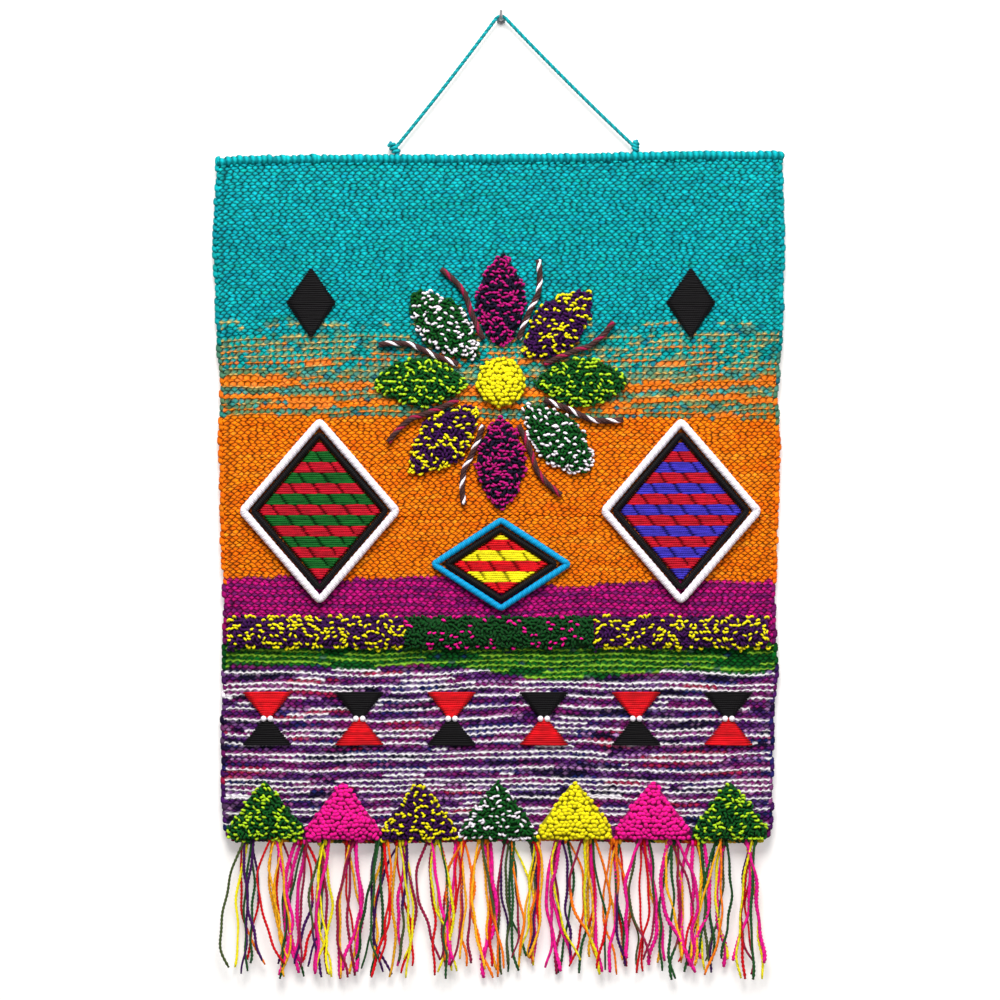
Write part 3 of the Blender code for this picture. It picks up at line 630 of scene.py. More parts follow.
def cord_route():
    """The cord's centre line: straight legs with a slight sag and an arc over the hook's wire."""
    top = WIRE_RADIUS + CORD_RADIUS + GAP
    centre = np.array([0.0, -CORD_DEPTH, top - CORD_BEND])
    angles = []
    for knot, turn in zip(KNOTS, (1, -1)):
        angles.append(math.atan2(knot[6] - top, knot[5]) - turn * math.pi / 2)
    arc_angles = np.linspace(angles[0] % math.tau, angles[1] % math.tau, 9)
    arc = centre + CORD_BEND * np.stack([np.cos(arc_angles), 0 * arc_angles, np.sin(arc_angles)], axis=1)
    stops = []
    for start, knot in zip((arc[0], arc[-1]), KNOTS):
        target = np.array([knot[5], knot_middle(knot)[1], knot[6]])
        clear = CORD_RADIUS * KNOT_CLEAR + GAP
        shares = np.linspace(0.9, 1.0, 201)[:, None]
        offsets = start + (target - start) * shares - knot_middle(knot)
        lengthways = offsets @ knot_axis(knot)
        sideways = np.sqrt(np.maximum(0.0, (offsets**2).sum(axis=1) - lengthways**2))
        inside = (lengthways / (knot[2] + clear)) ** 2 + (sideways / (knot[3] + clear)) ** 2 < 1.0
        first = int(np.argmax(inside)) if inside.any() else 200
        stops.append(start + (target - start) * shares[first])
    steps = np.linspace(0.0, 1.0, 60)[:, None]
    sag = np.array([0.0, 0.0, CORD_SAG]) * 4 * steps * (1 - steps)
    left = stops[0] + (arc[0] - stops[0]) * steps - sag
    right = arc[-1] + (stops[1] - arc[-1]) * steps - sag
    ends = []
    for stop, top_end in zip(stops, (arc[0], arc[-1])):
        reach = stop + unit(stop - top_end) * CORD_TUCK
        ends.append(np.array([reach[0], stop[1], max(reach[2], top_edge(reach[0]) - ROLL_RADIUS * 0.7)]))
    return np.concatenate([ends[:1], left[:-1], arc, right[1:], ends[1:]])


def resample(route, step):
    """Points an even step apart along a route."""
    lengths = np.concatenate([[0.0], np.cumsum(np.linalg.norm(np.diff(route, axis=0), axis=1))])
    places = np.linspace(0.0, lengths[-1], max(2, round(lengths[-1] / step)) + 1)
    return np.stack([np.interp(places, lengths, route[:, k]) for k in range(3)], axis=1), places


def plied(route, places, radius, plies, turn, sides, across, colours, start=0.0, offset=None):
    """A twisted cord: each ply's middle runs round the route at a share of its radius, one turn in
    the turn's length, and the plies press into each other."""
    tangents = unit(np.gradient(route, axis=0))
    up = unit(np.cross(tangents, across))
    side = unit(np.cross(up, tangents))
    radius = np.broadcast_to(radius, len(route))
    share = offset or PLY_OFFSET[plies]
    reach = (radius * share)[:, None]
    ply_radius = radius * (1.0 - share)
    angle = math.tau * places / turn + start
    paths = []
    for ply in range(plies):
        a = (angle + math.tau * ply / plies)[:, None]
        paths.append(route + reach * (np.cos(a) * side + np.sin(a) * up))
    return tubes(np.array(paths), ply_radius, sides, across, colours, twists=0.8)


def hanging_cord(finish):
    """The two-ply cord from knot to knot over the hook."""
    route, places = resample(cord_route(), CORD_STEP)
    # The second ply is painted darker than the first, as painted shade in the grooves between the plies.
    plies = plied(route, places, CORD_RADIUS * CORD_FULLNESS, 2, CORD_TURN, 9, BACKWARDS,
                  [TEAL * 0.84, TEAL * 0.52], offset=CORD_PRESS)
    cord = make_piece("hanging_cord_plies", "hanging_cord", plies, finish)
    return cord, route, float(places[-1])


def knot_piece(knot, finish):
    """A tight knot: a cord that winds closely round the knot's axis from the rolled edge up, as a
    helix whose radius shrinks to nothing at the upper end, reach * (1 - t ** 5) ** 0.5 for t over 0,
    and ripples by 1 - 0.14 * sin(5 * t) ** 2."""
    name = knot[0]
    half_length, half_width = knot[2:4]
    middle = knot_middle(knot)
    along = knot_axis(knot)
    side = np.array([-along[2], 0.0, along[0]])
    t = np.linspace(KNOT_START, 1.0, 96)
    radius = CORD_RADIUS * KNOT_YARN
    swell = np.sqrt(np.maximum(0.0, 1.0 - np.maximum(t, 0.0) ** 5)) * (1.0 - 0.14 * np.sin(t * 5.0) ** 2)
    reach = np.maximum(0.0002, (half_width - radius * 0.60) * swell)
    angle = t * math.tau * KNOT_TURNS + 0.6
    route = (middle + along * (t * (half_length - radius))[:, None] + side * (reach * np.cos(angle))[:, None]
             + np.array(BACKWARDS) * (reach * np.sin(angle))[:, None])
    route, places = resample(route, KNOT_STEP)
    # The second ply is painted darker than the first, as painted shade in the grooves between the plies.
    wound = plied(route, places, radius, 2, CORD_TURN, 8, along, [TEAL * 0.92, TEAL * 0.58],
                  offset=CORD_PRESS)
    shares = np.linspace(-1.35, 0.86, 12)
    core = shares[:, None] * half_length * along + middle
    girth = half_width * np.interp(shares, (-1.35, 0.4, 0.86), (0.60, 0.56, 0.30))
    fill = tubes(core[None], girth, 8, BACKWARDS, [DEEP_TEAL])
    return make_piece(name + "_wound", name, joined([wound, fill]), finish)


def row_height(row, x):
    """Height of the line under a given number of rows, from the roll down to the lower edge. The rows
    grow thinner downwards, and their slow waves die away at both edges of the cloth."""
    share = row / ROWS
    share = share * (1.0 + ROW_EASE * (1.0 - share))
    top = top_edge(x) - ROLL_DROP
    low = bottom_edge(x)
    wave = sum(reach * np.sin(x * across + share * down + start) for reach, across, down, start in ROW_WAVES)
    return top + (low - top) * share + wave * np.sqrt(np.maximum(0.0, np.sin(math.pi * share)))


def slow_changes(rng, rows, x, reaches):
    """Smooth changes along each row, about -1 to 1: sines of the given reaches with phases of their own."""
    total = np.zeros((rows, x.shape[-1]))
    for reach in reaches:
        stretch = 1.0 + 0.3 * rng.random((rows, 1))
        total += np.sin(x * reach * stretch + rng.uniform(0, math.tau, (rows, 1)))
    return total / len(reaches) * 1.3


def weave_colours():
    """Colour of every bump, rows by bumps, how slack its row is, from 0 to 1, and how much wider than
    even, below 0 where it is thinner: plain bands, a blended band of dashed rows, wavy rows of two
    shades, and space-dyed purple with slubby white rows."""
    rng = np.random.default_rng(11)
    bumps = BUMPS + 1
    x = np.linspace(-WEAVE_WIDTH / 2, WEAVE_WIDTH / 2, bumps)[None, :]
    row = np.arange(ROWS)[:, None]
    z = row_height(row + 0.5, x) + 0.0 * x
    waves = slow_changes(rng, ROWS, x, (14.0, 33.0, 71.0))
    runs = slow_changes(rng, ROWS, x, (21.0, 57.0))
    bend = 0.0016 * np.sin(x * 17.0 + 0.4) + 0.0010 * np.sin(x * 43.0)
    chance = rng.random((ROWS, bumps))
    row_chance = rng.random((ROWS, 1))
    odd = row % 2 == 1
    colours = np.empty((ROWS, bumps, 3))

    def paint(mask, colour, share=1.0):
        colours[mask] = colours[mask] * (1.0 - share) + colour * share

    paint(np.ones((ROWS, bumps), bool), TEAL)
    paint(waves > 0.8, DEEP_TEAL, 0.35)
    paint(waves < -0.8, SEA_GREEN, 0.30)

    # Blended band: dashed brass rows among the teal ones, thick orange rows lower down
    depth = (BLEND_TOP - z - bend) / (BLEND_TOP - BLEND_BOTTOM)
    inside = (depth > 0.0) & (depth < 1.0)
    mixed_row = inside & (row_chance < 0.86)
    paint(mixed_row & (waves > 0.0), DEEP_TEAL, 0.5)
    paint(mixed_row, SEA_GREEN * 0.8, 0.45)
    paint(inside & (depth > 0.50), OLIVE, 0.6)
    paint(inside & (chance > 0.78), OLIVE, 0.5)
    paint(inside & (chance < 0.16), TEAL, 0.5)
    dashed = inside & odd & (row_chance < 0.86) & (runs > -0.75 - depth) & (chance > 0.20)
    paint(dashed, BRASS, 0.86)
    paint(dashed & (waves < -0.70 + 1.1 * depth), ORANGE, 0.8)
    paint(inside & (chance < 0.03), NAVY, 0.5)
    for middle, half in ((0.43, 0.014), (0.67, 0.045), (0.83, 0.030), (0.92, 0.020)):
        thick = inside & (np.abs(depth - middle - 0.05 * np.sin(x * 13.0 + middle * 40.0)) < half)
        paint(thick & (runs > -1.1 + (middle < 0.5)), ORANGE, 0.92)

    # Orange band with lighter and darker spun lengths
    orange = z + bend < BLEND_BOTTOM
    paint(orange, ORANGE)
    paint(orange & (waves > 0.70), GOLD, 0.30)
    paint(orange & (waves < -0.65), ORANGE * np.array((0.9, 0.62, 0.4)), 0.6)

    # Magenta and plum rows
    magenta = z + 1.6 * bend < MAGENTA_TOP
    paint(magenta, MAGENTA)
    paint(magenta & (row % 3 == 0) & (waves > -0.6), PLUM)
    paint(magenta & (waves < -0.7), VIOLET, 0.7)

    # Light and dark green rows
    green = z + bend < GREEN_TOP
    paint(green, DARK_GREEN)
    paint(green & odd & (runs > -0.8), BRIGHT_GREEN)
    paint(green & ~odd & (waves > 0.5), GREEN)
    paint(green & (chance < 0.04), NAVY, 0.7)

    # Space-dyed purple with slubby white rows at uneven distances
    purple = z + 2.6 * bend < PURPLE_TOP
    paint(purple, PURPLE)
    paint(purple & (waves > 0.15), PLUM)
    paint(purple & (waves < -0.60), INK)
    paint(purple & (runs > 0.80), NAVY, 0.8)
    paint(purple & (waves > 0.85), CRIMSON)
    paint(purple & (chance > 0.80), LILAC, 0.16)
    white_rows = np.isin(row, np.cumsum(rng.choice((2, 3, 3, 4, 4, 4), ROWS)))
    beside = np.roll(white_rows, 2) & ~white_rows & (runs > 0.70)
    white = purple & ((white_rows & (waves > -0.75)) | (beside & (waves > 0.1)))
    paint(purple & white_rows & ~white & (chance > 0.35), LILAC, 0.60)
    paint(white, WHITE)
    paint(purple & (row >= ROWS - HEM_ROWS), PLUM)
    slubs = white | (green & ~purple & odd & (runs > -0.8))
    slack = np.where(slubs, 1.0, np.where(dashed, 0.55, 0.0))
    tone = (0.74 + 0.44 * rng.random((ROWS, bumps, 1))) * rng.uniform(0.94, 1.06, (ROWS, bumps, 3))
    girth = np.where(slubs, -SLUB_THIN, np.where(dashed, -DASH_THIN, 0.0))
    return colours * np.where(white[..., None], 1.0 + 0.15 * (tone - 0.96), tone), slack, girth


def weave_slab(name, first, last, weave, finish):
    """One closed length of the cloth between two row lines.

    The front is a grid with a line between rows and a line on each row's crest, four columns to a bump. A
    crest's height is a power of |cos| across its bump, the rows are set half a bump apart, and the lines
    between rows swing up and down with the bumps so that these interlock as lenses. Rows are thick and thin
    along their length and slip sideways, and bumps differ in size. A slubby row is slightly thinner, even in
    height and zigzags instead. The colour carries a painted highlight on the middle of each crest, and
    painted shade between rows, towards the bumps' ends, in a seam line near each side and in the back's low
    places. The back is a plainer grid."""
    colours, slack, girth = weave
    rng = np.random.default_rng(31)
    count = 4 * BUMPS + 1
    columns = np.arange(count)[None, :]
    share = np.clip((columns + rng.uniform(-0.12, 0.12, count)) / (count - 1), 0.0, 1.0)
    rough_x = left_edge(-0.34) + share * (right_edge(-0.34) - left_edge(-0.34))
    rim = np.arange(ROWS + 1)[:, None]
    rims = row_height(rim, rough_x)
    pitch = (rims[0] - rims[-1]) / ROWS
    inner = (rim > 0) & (rim < ROWS)
    rims = rims + inner * pitch * ROW_WANDER * slow_changes(rng, ROWS + 1, rough_x, (60.0, 131.0, 290.0))
    bump = np.minimum((columns + 2 * (1 - rim % 2)) // 4, BUMPS)
    bump_above = np.minimum((columns + 2 * (rim % 2)) // 4, BUMPS)
    own = np.minimum(rim, ROWS - 1)
    above = np.maximum(rim - 1, 0)
    slub = slack[own, bump]
    slub_above = slack[above, bump_above] * (rim > 0)
    loose = np.maximum(slub, slub_above)
    sway = 1.0 + 0.4 * slow_changes(rng, ROWS + 1, rough_x, (170.0, 410.0))
    phase = (columns / 4 + 0.5 * (rim % 2)) * math.pi
    zigzag = sway * np.cos(columns / 4 * math.tau + rim * 0.7)
    over = np.abs(np.cos(phase))
    size = rng.uniform(0.38, 1.22, (ROWS, BUMPS + 1))
    nudge = rng.uniform(-0.20, 0.20, (ROWS, BUMPS + 1))
    shift = rng.uniform(-BUMP_SHIFT, BUMP_SHIFT, (ROWS, BUMPS + 1))[own, bump] * over
    lift = nudge[own, bump] * (1.0 - slub) + SLUB_SWING * zigzag * slub
    crests = (rims[:-1] + rims[1:]) / 2 + pitch * lift[:-1]
    swing = (1.0 - loose) * ROW_SWING * sway * np.cos(2 * phase) + loose * SLUB_SWING * zigzag
    wider = girth[own, bump] - girth[above, bump_above]
    frayed = FRAY * loose * rng.uniform(-1.0, 1.0, rims.shape)
    rims = rims + inner * pitch * (swing + wider + frayed)
    here = colours[own, bump]
    there = colours[above, bump_above]
    between = np.where(np.cos(2 * phase)[..., None] > 0, here, there)

    z = np.empty((2 * ROWS + 1, count))
    height = np.empty_like(z)
    gap = np.empty_like(z)
    slip = np.empty_like(z)
    tint = np.empty(z.shape + (3,))
    z[::2], z[1::2] = rims, crests
    slide = ROW_SLIP * slow_changes(rng, ROWS + 1, rough_x, (35.0, 97.0, 240.0))
    slip[1::2] = (slide + shift / 4)[:-1]
    slip[::2] = (slide + slide[above[:, 0]] + (shift + shift[above[:, 0]]) / 8) / 2
    height[::2] = 0.10 + 0.10 * np.abs(np.cos(2 * phase))
    plain = (1.0 - slub) * (0.06 + 0.94 * over**0.6)
    height[1::2] = (size[own, bump] * plain + slub * (0.72 + 0.30 * over))[:-1]
    # Painted shade: these gap values darken the colour between rows and towards the bumps' ends, and dip the
    # bump.
    gap[::2] = 1.0 - loose * 0.38
    gap[1::2] = ((1.0 - slub) * (1.0 - over) ** 1.3 + slub * 0.30 * (1.0 - over))[:-1]
    blended = 0.6 * loose[..., None]
    tint[::2] = (1.0 - blended) * between + blended * np.minimum(here, there)
    # Painted highlight on the middle of each crest, with painted shade towards its ends.
    crest_highlight = 0.84 + 0.10 * slub + (0.44 - 0.10 * slub) * over**2
    tint[1::2] = (here * crest_highlight[..., None])[:-1]
    seam = np.exp(-(((np.minimum(share, 1.0 - share) * WEAVE_WIDTH - SEAM_INSET) / SEAM_WIDTH) ** 2))
    # A lowered seam line near each side, with painted shade in it.
    gap = np.maximum(gap, 0.80 * seam)
    height = height * (1.0 - 0.6 * seam)
    height[1] = height[1] * 1.35
    lines = slice(2 * first, 2 * last + 1)
    stray = (slip * 4.0 + rng.uniform(-0.10, 0.10, z.shape)) / (count - 1)
    z, height, tint, gap, stray = z[lines], height[lines], tint[lines], gap[lines], stray[lines]

    left = left_edge(z) + SIDE_INSET + corner_cut(z)
    right = right_edge(z) - SIDE_INSET - corner_cut(z)
    lean = 0.0007 * np.sin(z * 61.0) + 0.0005 * np.sin(z * 143.0 + rough_x * 25.0)
    x = left + (share + stray * np.clip(share * (1.0 - share) * 40.0, 0.0, 1.0)) * (right - left)
    x = x + lean * np.sin(math.pi * share)
    edge = np.minimum(1.0, np.minimum(share, 1.0 - share) * WEAVE_WIDTH / EDGE_ROUNDING) ** 0.5
    y = middle_depth(x, z) - (CLOTH_CORE + RELIEF * height) * edge
    front = np.stack([x, y, z], axis=-1)
    twist = x / SPIN_TURN + z / SPIN_STEP

    back_x, back_z = x[::2, ::2], z[::2, ::2]
    back_row = np.arange(first, last + 1)[:, None]
    back_column = np.arange(back_x.shape[1])[None, :]
    stands = (back_row + back_column) % 2
    back_rise = CLOTH_CORE + RELIEF * (0.15 + 0.75 * stands)
    back_y = middle_depth(back_x, back_z) + back_rise * edge[:, ::2]
    back = np.stack([back_x, back_y, back_z], axis=-1)
    back_tint = colours[np.minimum(back_row, ROWS - 1), back_column // 2]
    # Painted shade in the back's low places.
    back_gap = (1.0 - stands) * 0.85

    index = np.arange(front.shape[0] * front.shape[1]).reshape(front.shape[:2])
    behind = np.arange(back.shape[0] * back.shape[1]).reshape(back.shape[:2]) + index.size
    quads = np.stack([index[1:, :-1], index[1:, 1:], index[:-1, 1:], index[:-1, :-1]], axis=-1)
    back_quads = np.stack([behind[1:, :-1], behind[:-1, :-1], behind[:-1, 1:], behind[1:, 1:]], axis=-1)

    def side_faces(front_line, back_line):
        """Five-sided faces that join a front edge with twice the points to a back edge."""
        return np.stack([front_line[:-2:2], front_line[1:-1:2], front_line[2::2],
                         back_line[1:], back_line[:-1]], axis=-1)

    closing = [side_faces(index[0], behind[0]), side_faces(index[-1][::-1], behind[-1][::-1]),
               side_faces(index[:, 0][::-1], behind[:, 0][::-1]), side_faces(index[:, -1], behind[:, -1])]
    points = np.concatenate([front.reshape(-1, 3), back.reshape(-1, 3)])
    tints = np.concatenate([tint.reshape(-1, 3), back_tint.reshape(-1, 3)])
    twists = np.concatenate([twist.ravel(), (twist[::2, ::2]).ravel()])
    gaps = np.concatenate([gap.ravel(), back_gap.ravel()])
    polygons = [quads.reshape(-1, 4), back_quads.reshape(-1, 4)] + closing
    return make_piece(name, "woven_cloth", (points, polygons, tints, twists), finish, gaps)


def edge_colour(colours, z, side):
    """Yarn colour of the cloth's side at given heights: the darker of two neighbouring rows."""
    lines = row_height(np.arange(ROWS + 1) + 0.0, 0.0)
    row = np.clip(np.interp(-z, -lines, np.arange(ROWS + 1)).astype(int), 1, ROWS - 1)
    column = 0 if side < 0 else -1
    here, above = colours[row, column], colours[row - 1, column]
    return np.where(here.sum(axis=1, keepdims=True) < above.sum(axis=1, keepdims=True), here, above)


def rolled_edge(finish):
    """Wraps of weft over the rolled upper edge: slanted arcs round the roll, side by side, each with a belly
    on the front: radius * (0.78 + 0.30 * exp(-((angle - belly) / 0.7) ** 2)). Each wrap's colour is lighter
    on its belly and darker towards its sides, as painted highlight and painted shade, and darker still where
    wraps meet, as painted shade."""
    rng = np.random.default_rng(5)
    left, right = left_edge(ROLL_LEVEL), right_edge(ROLL_LEVEL)
    count = round((right - left) / WRAP_PITCH)
    places = (np.arange(count) + 0.5) / count + rng.uniform(-0.0012, 0.0012, count)
    x = left + WRAP_INSET + (right - left - 2 * WRAP_INSET) * places
    angles = np.radians(np.array((-66, -46, -28, -10, 6, 20, 38, 62, 90, 130, 170, 210, 246)))[None, :]
    belly = np.exp(-(((angles - ROLL_BELLY) / 0.70) ** 2))
    radius = WRAP_RADIUS * rng.uniform(0.84, 1.12, count)[:, None] * (0.78 + 0.30 * belly)
    reach = (ROLL_RADIUS - 0.0016) * rng.uniform(0.90, 1.10, count)[:, None]
    middle_y = middle_depth(x, top_edge(x))[:, None]
    middle_z = (top_edge(x) - ROLL_RADIUS - ROLL_SAG + rng.uniform(-0.0003, 0.0002, count))[:, None]
    slant = rng.uniform(0.0008, 0.0024, count)[:, None] * np.cos(angles)
    paths = np.stack([x[:, None] + slant + 0 * angles, middle_y - reach * 1.02 * np.cos(angles),
                      middle_z + reach * np.sin(angles) * 1.30], axis=-1)
    tint = TEAL * rng.uniform(0.80, 1.06, (count, 1)) * rng.uniform(0.96, 1.04, (count, 3))
    # Painted highlight on each wrap's belly, painted shade towards its sides.
    tint = tint[:, None, :] * (0.71 + 0.50 * belly)[..., None]
    # Painted shade where neighbouring wraps meet.
    parts = [shaded_where_touching(tubes(paths, radius, 8, SIDEWAYS, tint), 8, 0.70)]
    ends = np.linspace(0.0, 1.0, 60)
    core_x = left + 0.001 + (right - left - 0.002) * ends
    core_y = middle_depth(core_x, top_edge(core_x))
    core = np.stack([core_x, core_y, top_edge(core_x) - ROLL_RADIUS - ROLL_SAG], axis=-1)
    # The core's colour, teal at 0.45, is painted shade seen between the wraps.
    parts.append(tubes(core[None], ROLL_RADIUS * 0.82, 10, BACKWARDS, [TEAL * 0.45]))
    return make_piece("rolled_edge_wraps", "woven_cloth", joined(parts), finish)


def selvedge(name, side, colours, finish):
    """Turns of weft round the outer warp: small arcs one above another, uneven in size and reach."""
    rng = np.random.default_rng(40 + side)
    count = round((SELVEDGE_TOP - BOTTOM_EDGE - 0.002) / SELVEDGE_PITCH)
    z = SELVEDGE_TOP - (np.arange(count) + 0.5) * SELVEDGE_PITCH + rng.uniform(-0.0006, 0.0006, count)
    edge = left_edge(z) + corner_cut(z) if side < 0 else right_edge(z) - corner_cut(z)
    radius = SELVEDGE_RADIUS * rng.uniform(0.72, 1.20, count)
    proud = rng.uniform(-0.0006, 0.0010, count)
    angles = np.radians(np.linspace(-112, 112, 9))[None, :]
    middle_x = (edge + side * (proud - SELVEDGE_INSET))[:, None]
    paths = np.stack([middle_x + side * 0.0013 * np.cos(angles),
                      middle_depth(edge, z)[:, None] + 0.0011 * np.sin(angles),
                      z[:, None] + 0.0011 * np.sin(angles)], axis=-1)
    tint = edge_colour(colours, z, side) * rng.uniform(0.78, 1.10, (count, 1))
    turns = tubes(paths, radius[:, None], 8, UPWARDS, tint, flat=0.60)
    # Painted shade where neighbouring turns meet.
    return make_piece(name, "woven_cloth", shaded_where_touching(turns, 8, 0.45), finish)


def smooth_noise(x, z, seed, scale):
    """A cheap smooth field from -1 to 1: three crossed sines at a scale, with seeded phases."""
    a, b, c, d = np.random.default_rng(seed).uniform(0, math.tau, 4)
    return (np.sin(x * scale + a) * np.sin(z * scale * 1.13 + b) + 0.6 * np.sin((x + z) * scale * 1.7 + c)
            + 0.4 * np.sin((x - z) * scale * 2.3 + d)) / 2.0


def crown(share):
    """Height of a pile piece over its seat, as a share, from its middle, 0, to its rim, 1."""
    return np.interp(share, (0.0, 0.46, 0.84, 1.0), (1.0, 0.95, 0.72, 0.34))


def pile_loops(x, z, share, outward, height, main, accent, amount, seed, bobbles):
    """Loops of pile yarn on their base: each loop is half an ellipse in a plane that leans outwards at the
    rim, and a bobble is a short fat one. Each loop's colour darkens towards its feet as painted shade.
    Returns tubes."""
    rng = np.random.default_rng(seed)
    count = len(x)
    lift = crown(share) * height
    girth, half_width, rise, stations, sides, ground = BOBBLE if bobbles else LOOP
    radius = girth * rng.uniform(0.88, 1.12, count)
    reach = half_width * rng.uniform(0.8, 1.25, count)
    tall = rise * rng.uniform(0.75, 1.25, count)
    winding = z + 0.0017 * np.sin(x * 420.0 + seed) + 0.0012 * np.sin(x * 913.0 + 2.0 * seed)
    in_row = np.abs((winding / LOOP_ROW + seed * 0.37) % 1.0 - 0.5) < 0.25
    likely = amount * (0.30 + 1.35 * in_row + 0.45 * smooth_noise(x, z, seed, 260.0) + 0.5 * (share > 0.86))
    mixed = rng.random(count) < likely
    tall = tall + mixed * ACCENT_RISE
    radius = radius * np.where(mixed, ACCENT_GIRTH, 1.0)
    tilt = outward * (share[:, None] ** 3) * 1.1 + rng.uniform(-0.22, 0.22, (count, 2))
    normal = unit(np.stack([tilt[:, 0], -np.ones(count), tilt[:, 1]], axis=1))
    spin = np.where(mixed | bobbles, rng.normal(0.0, 0.55, count), rng.uniform(0, math.pi, count))
    level = np.stack([np.cos(spin), np.zeros(count), np.sin(spin)], axis=1)
    level = unit(level - (level * normal).sum(axis=1, keepdims=True) * normal)
    foot = np.stack([x, seat(x, z) - np.maximum(lift - tall - radius * 0.6, 0.0001), z], axis=1)
    t = np.linspace(0.0, math.pi, stations)[None, :, None]
    paths = (foot[:, None] + level[:, None] * reach[:, None, None] * np.cos(t)
             + normal[:, None] * tall[:, None, None] * np.sin(t))
    tint = np.where(mixed[:, None], accent, main if bobbles else main * 0.80)
    tint = tint * rng.uniform(0.78, 1.08, (count, 1))
    # Painted shade: each loop darker towards its feet.
    tint = tint[:, None, :] * (ground + (1.0 - ground) * np.sin(t) ** 0.7)
    return tubes(paths, radius[:, None], sides, np.cross(normal, level), tint)


def scatter(half_x, half_z, pitch, seed):
    """A jittered triangular lattice of points over a rectangle round the origin."""
    rng = np.random.default_rng(seed)
    rows = np.arange(-half_z, half_z, pitch * 0.87)
    cols = np.arange(-half_x, half_x + pitch, pitch)
    x = (cols[None, :] + (np.arange(len(rows)) % 2)[:, None] * pitch / 2).ravel()
    z = np.repeat(rows, len(cols))
    return x + rng.uniform(-0.28, 0.28, x.size) * pitch, z + rng.uniform(-0.28, 0.28, x.size) * pitch


def pad(middle, reach, height, colour, spokes=48, rings=9):
    """The close ground under a pile piece: a crowned disc stretched to the outline, closed behind, coloured
    as the pile at 0.35 for painted shade between the loops.
    """
    angles = np.arange(spokes) * math.tau / spokes
    radii = reach(angles)
    shares = np.linspace(0.0, 1.0, rings + 1)[1:, None]
    x = middle[0] + shares * radii * np.cos(angles)
    z = middle[1] + shares * radii * np.sin(angles)
    front = np.stack([x, seat(x, z) - np.maximum(0.0004, crown(shares) * height - PILE_GROUND), z], axis=-1)
    back = np.stack([x[-1], seat(x[-1], z[-1]), z[-1]], axis=-1)
    top = np.array([[middle[0], seat(*middle) - height + PILE_GROUND, middle[1]]])
    base = np.array([[middle[0], seat(*middle), middle[1]]])
    points = np.concatenate([top, front.reshape(-1, 3), back, base])
    index = np.arange(rings * spokes).reshape(rings, spokes) + 1
    beside = np.roll(index, -1, axis=1)
    rim = index[-1] + spokes
    polygons = [np.stack([np.zeros(spokes, int), beside[0], index[0]], axis=-1)[:, ::-1],
                np.stack([index[:-1], index[1:], beside[1:], beside[:-1]], axis=-1).reshape(-1, 4),
                np.stack([index[-1], rim, np.roll(rim, -1), beside[-1]], axis=-1),
                np.stack([rim, np.full(spokes, len(points) - 1), np.roll(rim, -1)], axis=-1)]
    # Pad colour is the pile's at 0.35: painted shade between the loops.
    return points, polygons, np.tile(colour * 0.35, (len(points), 1)), np.zeros(len(points))


def pile_piece(name, node, middle, reach, height, main, accent, amount, seed, finish, bobbles=False):
    """A raised piece of looped pile with an outline given as a reach in each direction."""
    pitch = BOBBLE_PITCH if bobbles else LOOP_PITCH
    limit = float(reach(np.linspace(0, math.tau, 90)).max())
    x, z = scatter(limit, limit, pitch, seed)
    direction = np.arctan2(z, x)
    share = np.hypot(x, z) / (reach(direction) * (1.0 + 0.035 * np.sin(direction * 9 + seed)))
    keep = share < 0.99
    x, z, share, direction = x[keep], z[keep], share[keep], direction[keep]
    outward = np.stack([np.cos(direction), np.sin(direction)], axis=1)
    loops = pile_loops(middle[0] + x, middle[1] + z, share, outward, height, main, accent, amount, seed,
                       bobbles)
    make_piece(name, node, joined([pad(middle, reach, height, main), loops]), finish)


def petal_reach(direction):
    """Outline of a pointed oval that lies along a direction."""
    def reach(a):
        along = np.abs(np.cos(a - direction)) / PETAL_LENGTH
        aside = np.abs(np.sin(a - direction)) / PETAL_WIDTH
        return (along**PETAL_POINT + aside**PETAL_POINT) ** (-1.0 / PETAL_POINT)
    return reach


def rosette(pile, cord):
    """Eight pile petals round a bobbled middle, with four-ply couched cords between them."""
    x0, z0 = ROSETTE
    pile_piece("rosette_middle_bobbles", "rosette_middle", ROSETTE, lambda a: CENTRE_RADIUS + 0 * a,
               PILE_HEIGHT + 0.001, YELLOW, YELLOW, 0.0, 3, pile, True)
    looks = ((GREEN, LIME, "green_pile"), (VIOLET, YELLOW, "purple_pile"), (INK, MAGENTA, "pink_pile"),
             (GREEN, WHITE, "dark_green_pile"))
    for k in range(PETALS):
        direction = math.tau * k / PETALS
        middle = (x0 + PETAL_RING * math.cos(direction), z0 + PETAL_RING * math.sin(direction))
        main, accent, slot = looks[k % 4]
        pile_piece(f"petal_{k + 1}_loops", f"petal_{k + 1}", middle, petal_reach(direction), PILE_HEIGHT,
                   main, accent, 0.34 if k % 4 != 2 else 0.56, 30 + k, pile)
        between = direction + math.pi / PETALS
        t = np.linspace(0.0, 1.0, 26)
        radius = RAY_START + (RAY_END - RAY_START) * t
        a = between + RAY_SWAY * np.sin(t * math.tau) + RAY_CURL * np.maximum(0.0, t - 0.6)
        x = x0 + radius * np.cos(a)
        z = z0 + radius * np.sin(a)
        route, places = resample(np.stack([x, seat(x, z) - RAY_RADIUS, z], axis=1), RAY_STEP)
        dyed = [BROWN, BROWN * 1.7, WHITE if k % 2 else CRIMSON, BROWN * 1.3]
        plies = plied(route, places, RAY_RADIUS, 4, RAY_TURN, 6, BACKWARDS, dyed, start=k * 1.3)
        make_piece(f"ray_{k + 1}_plies", f"ray_{k + 1}", plies, cord)


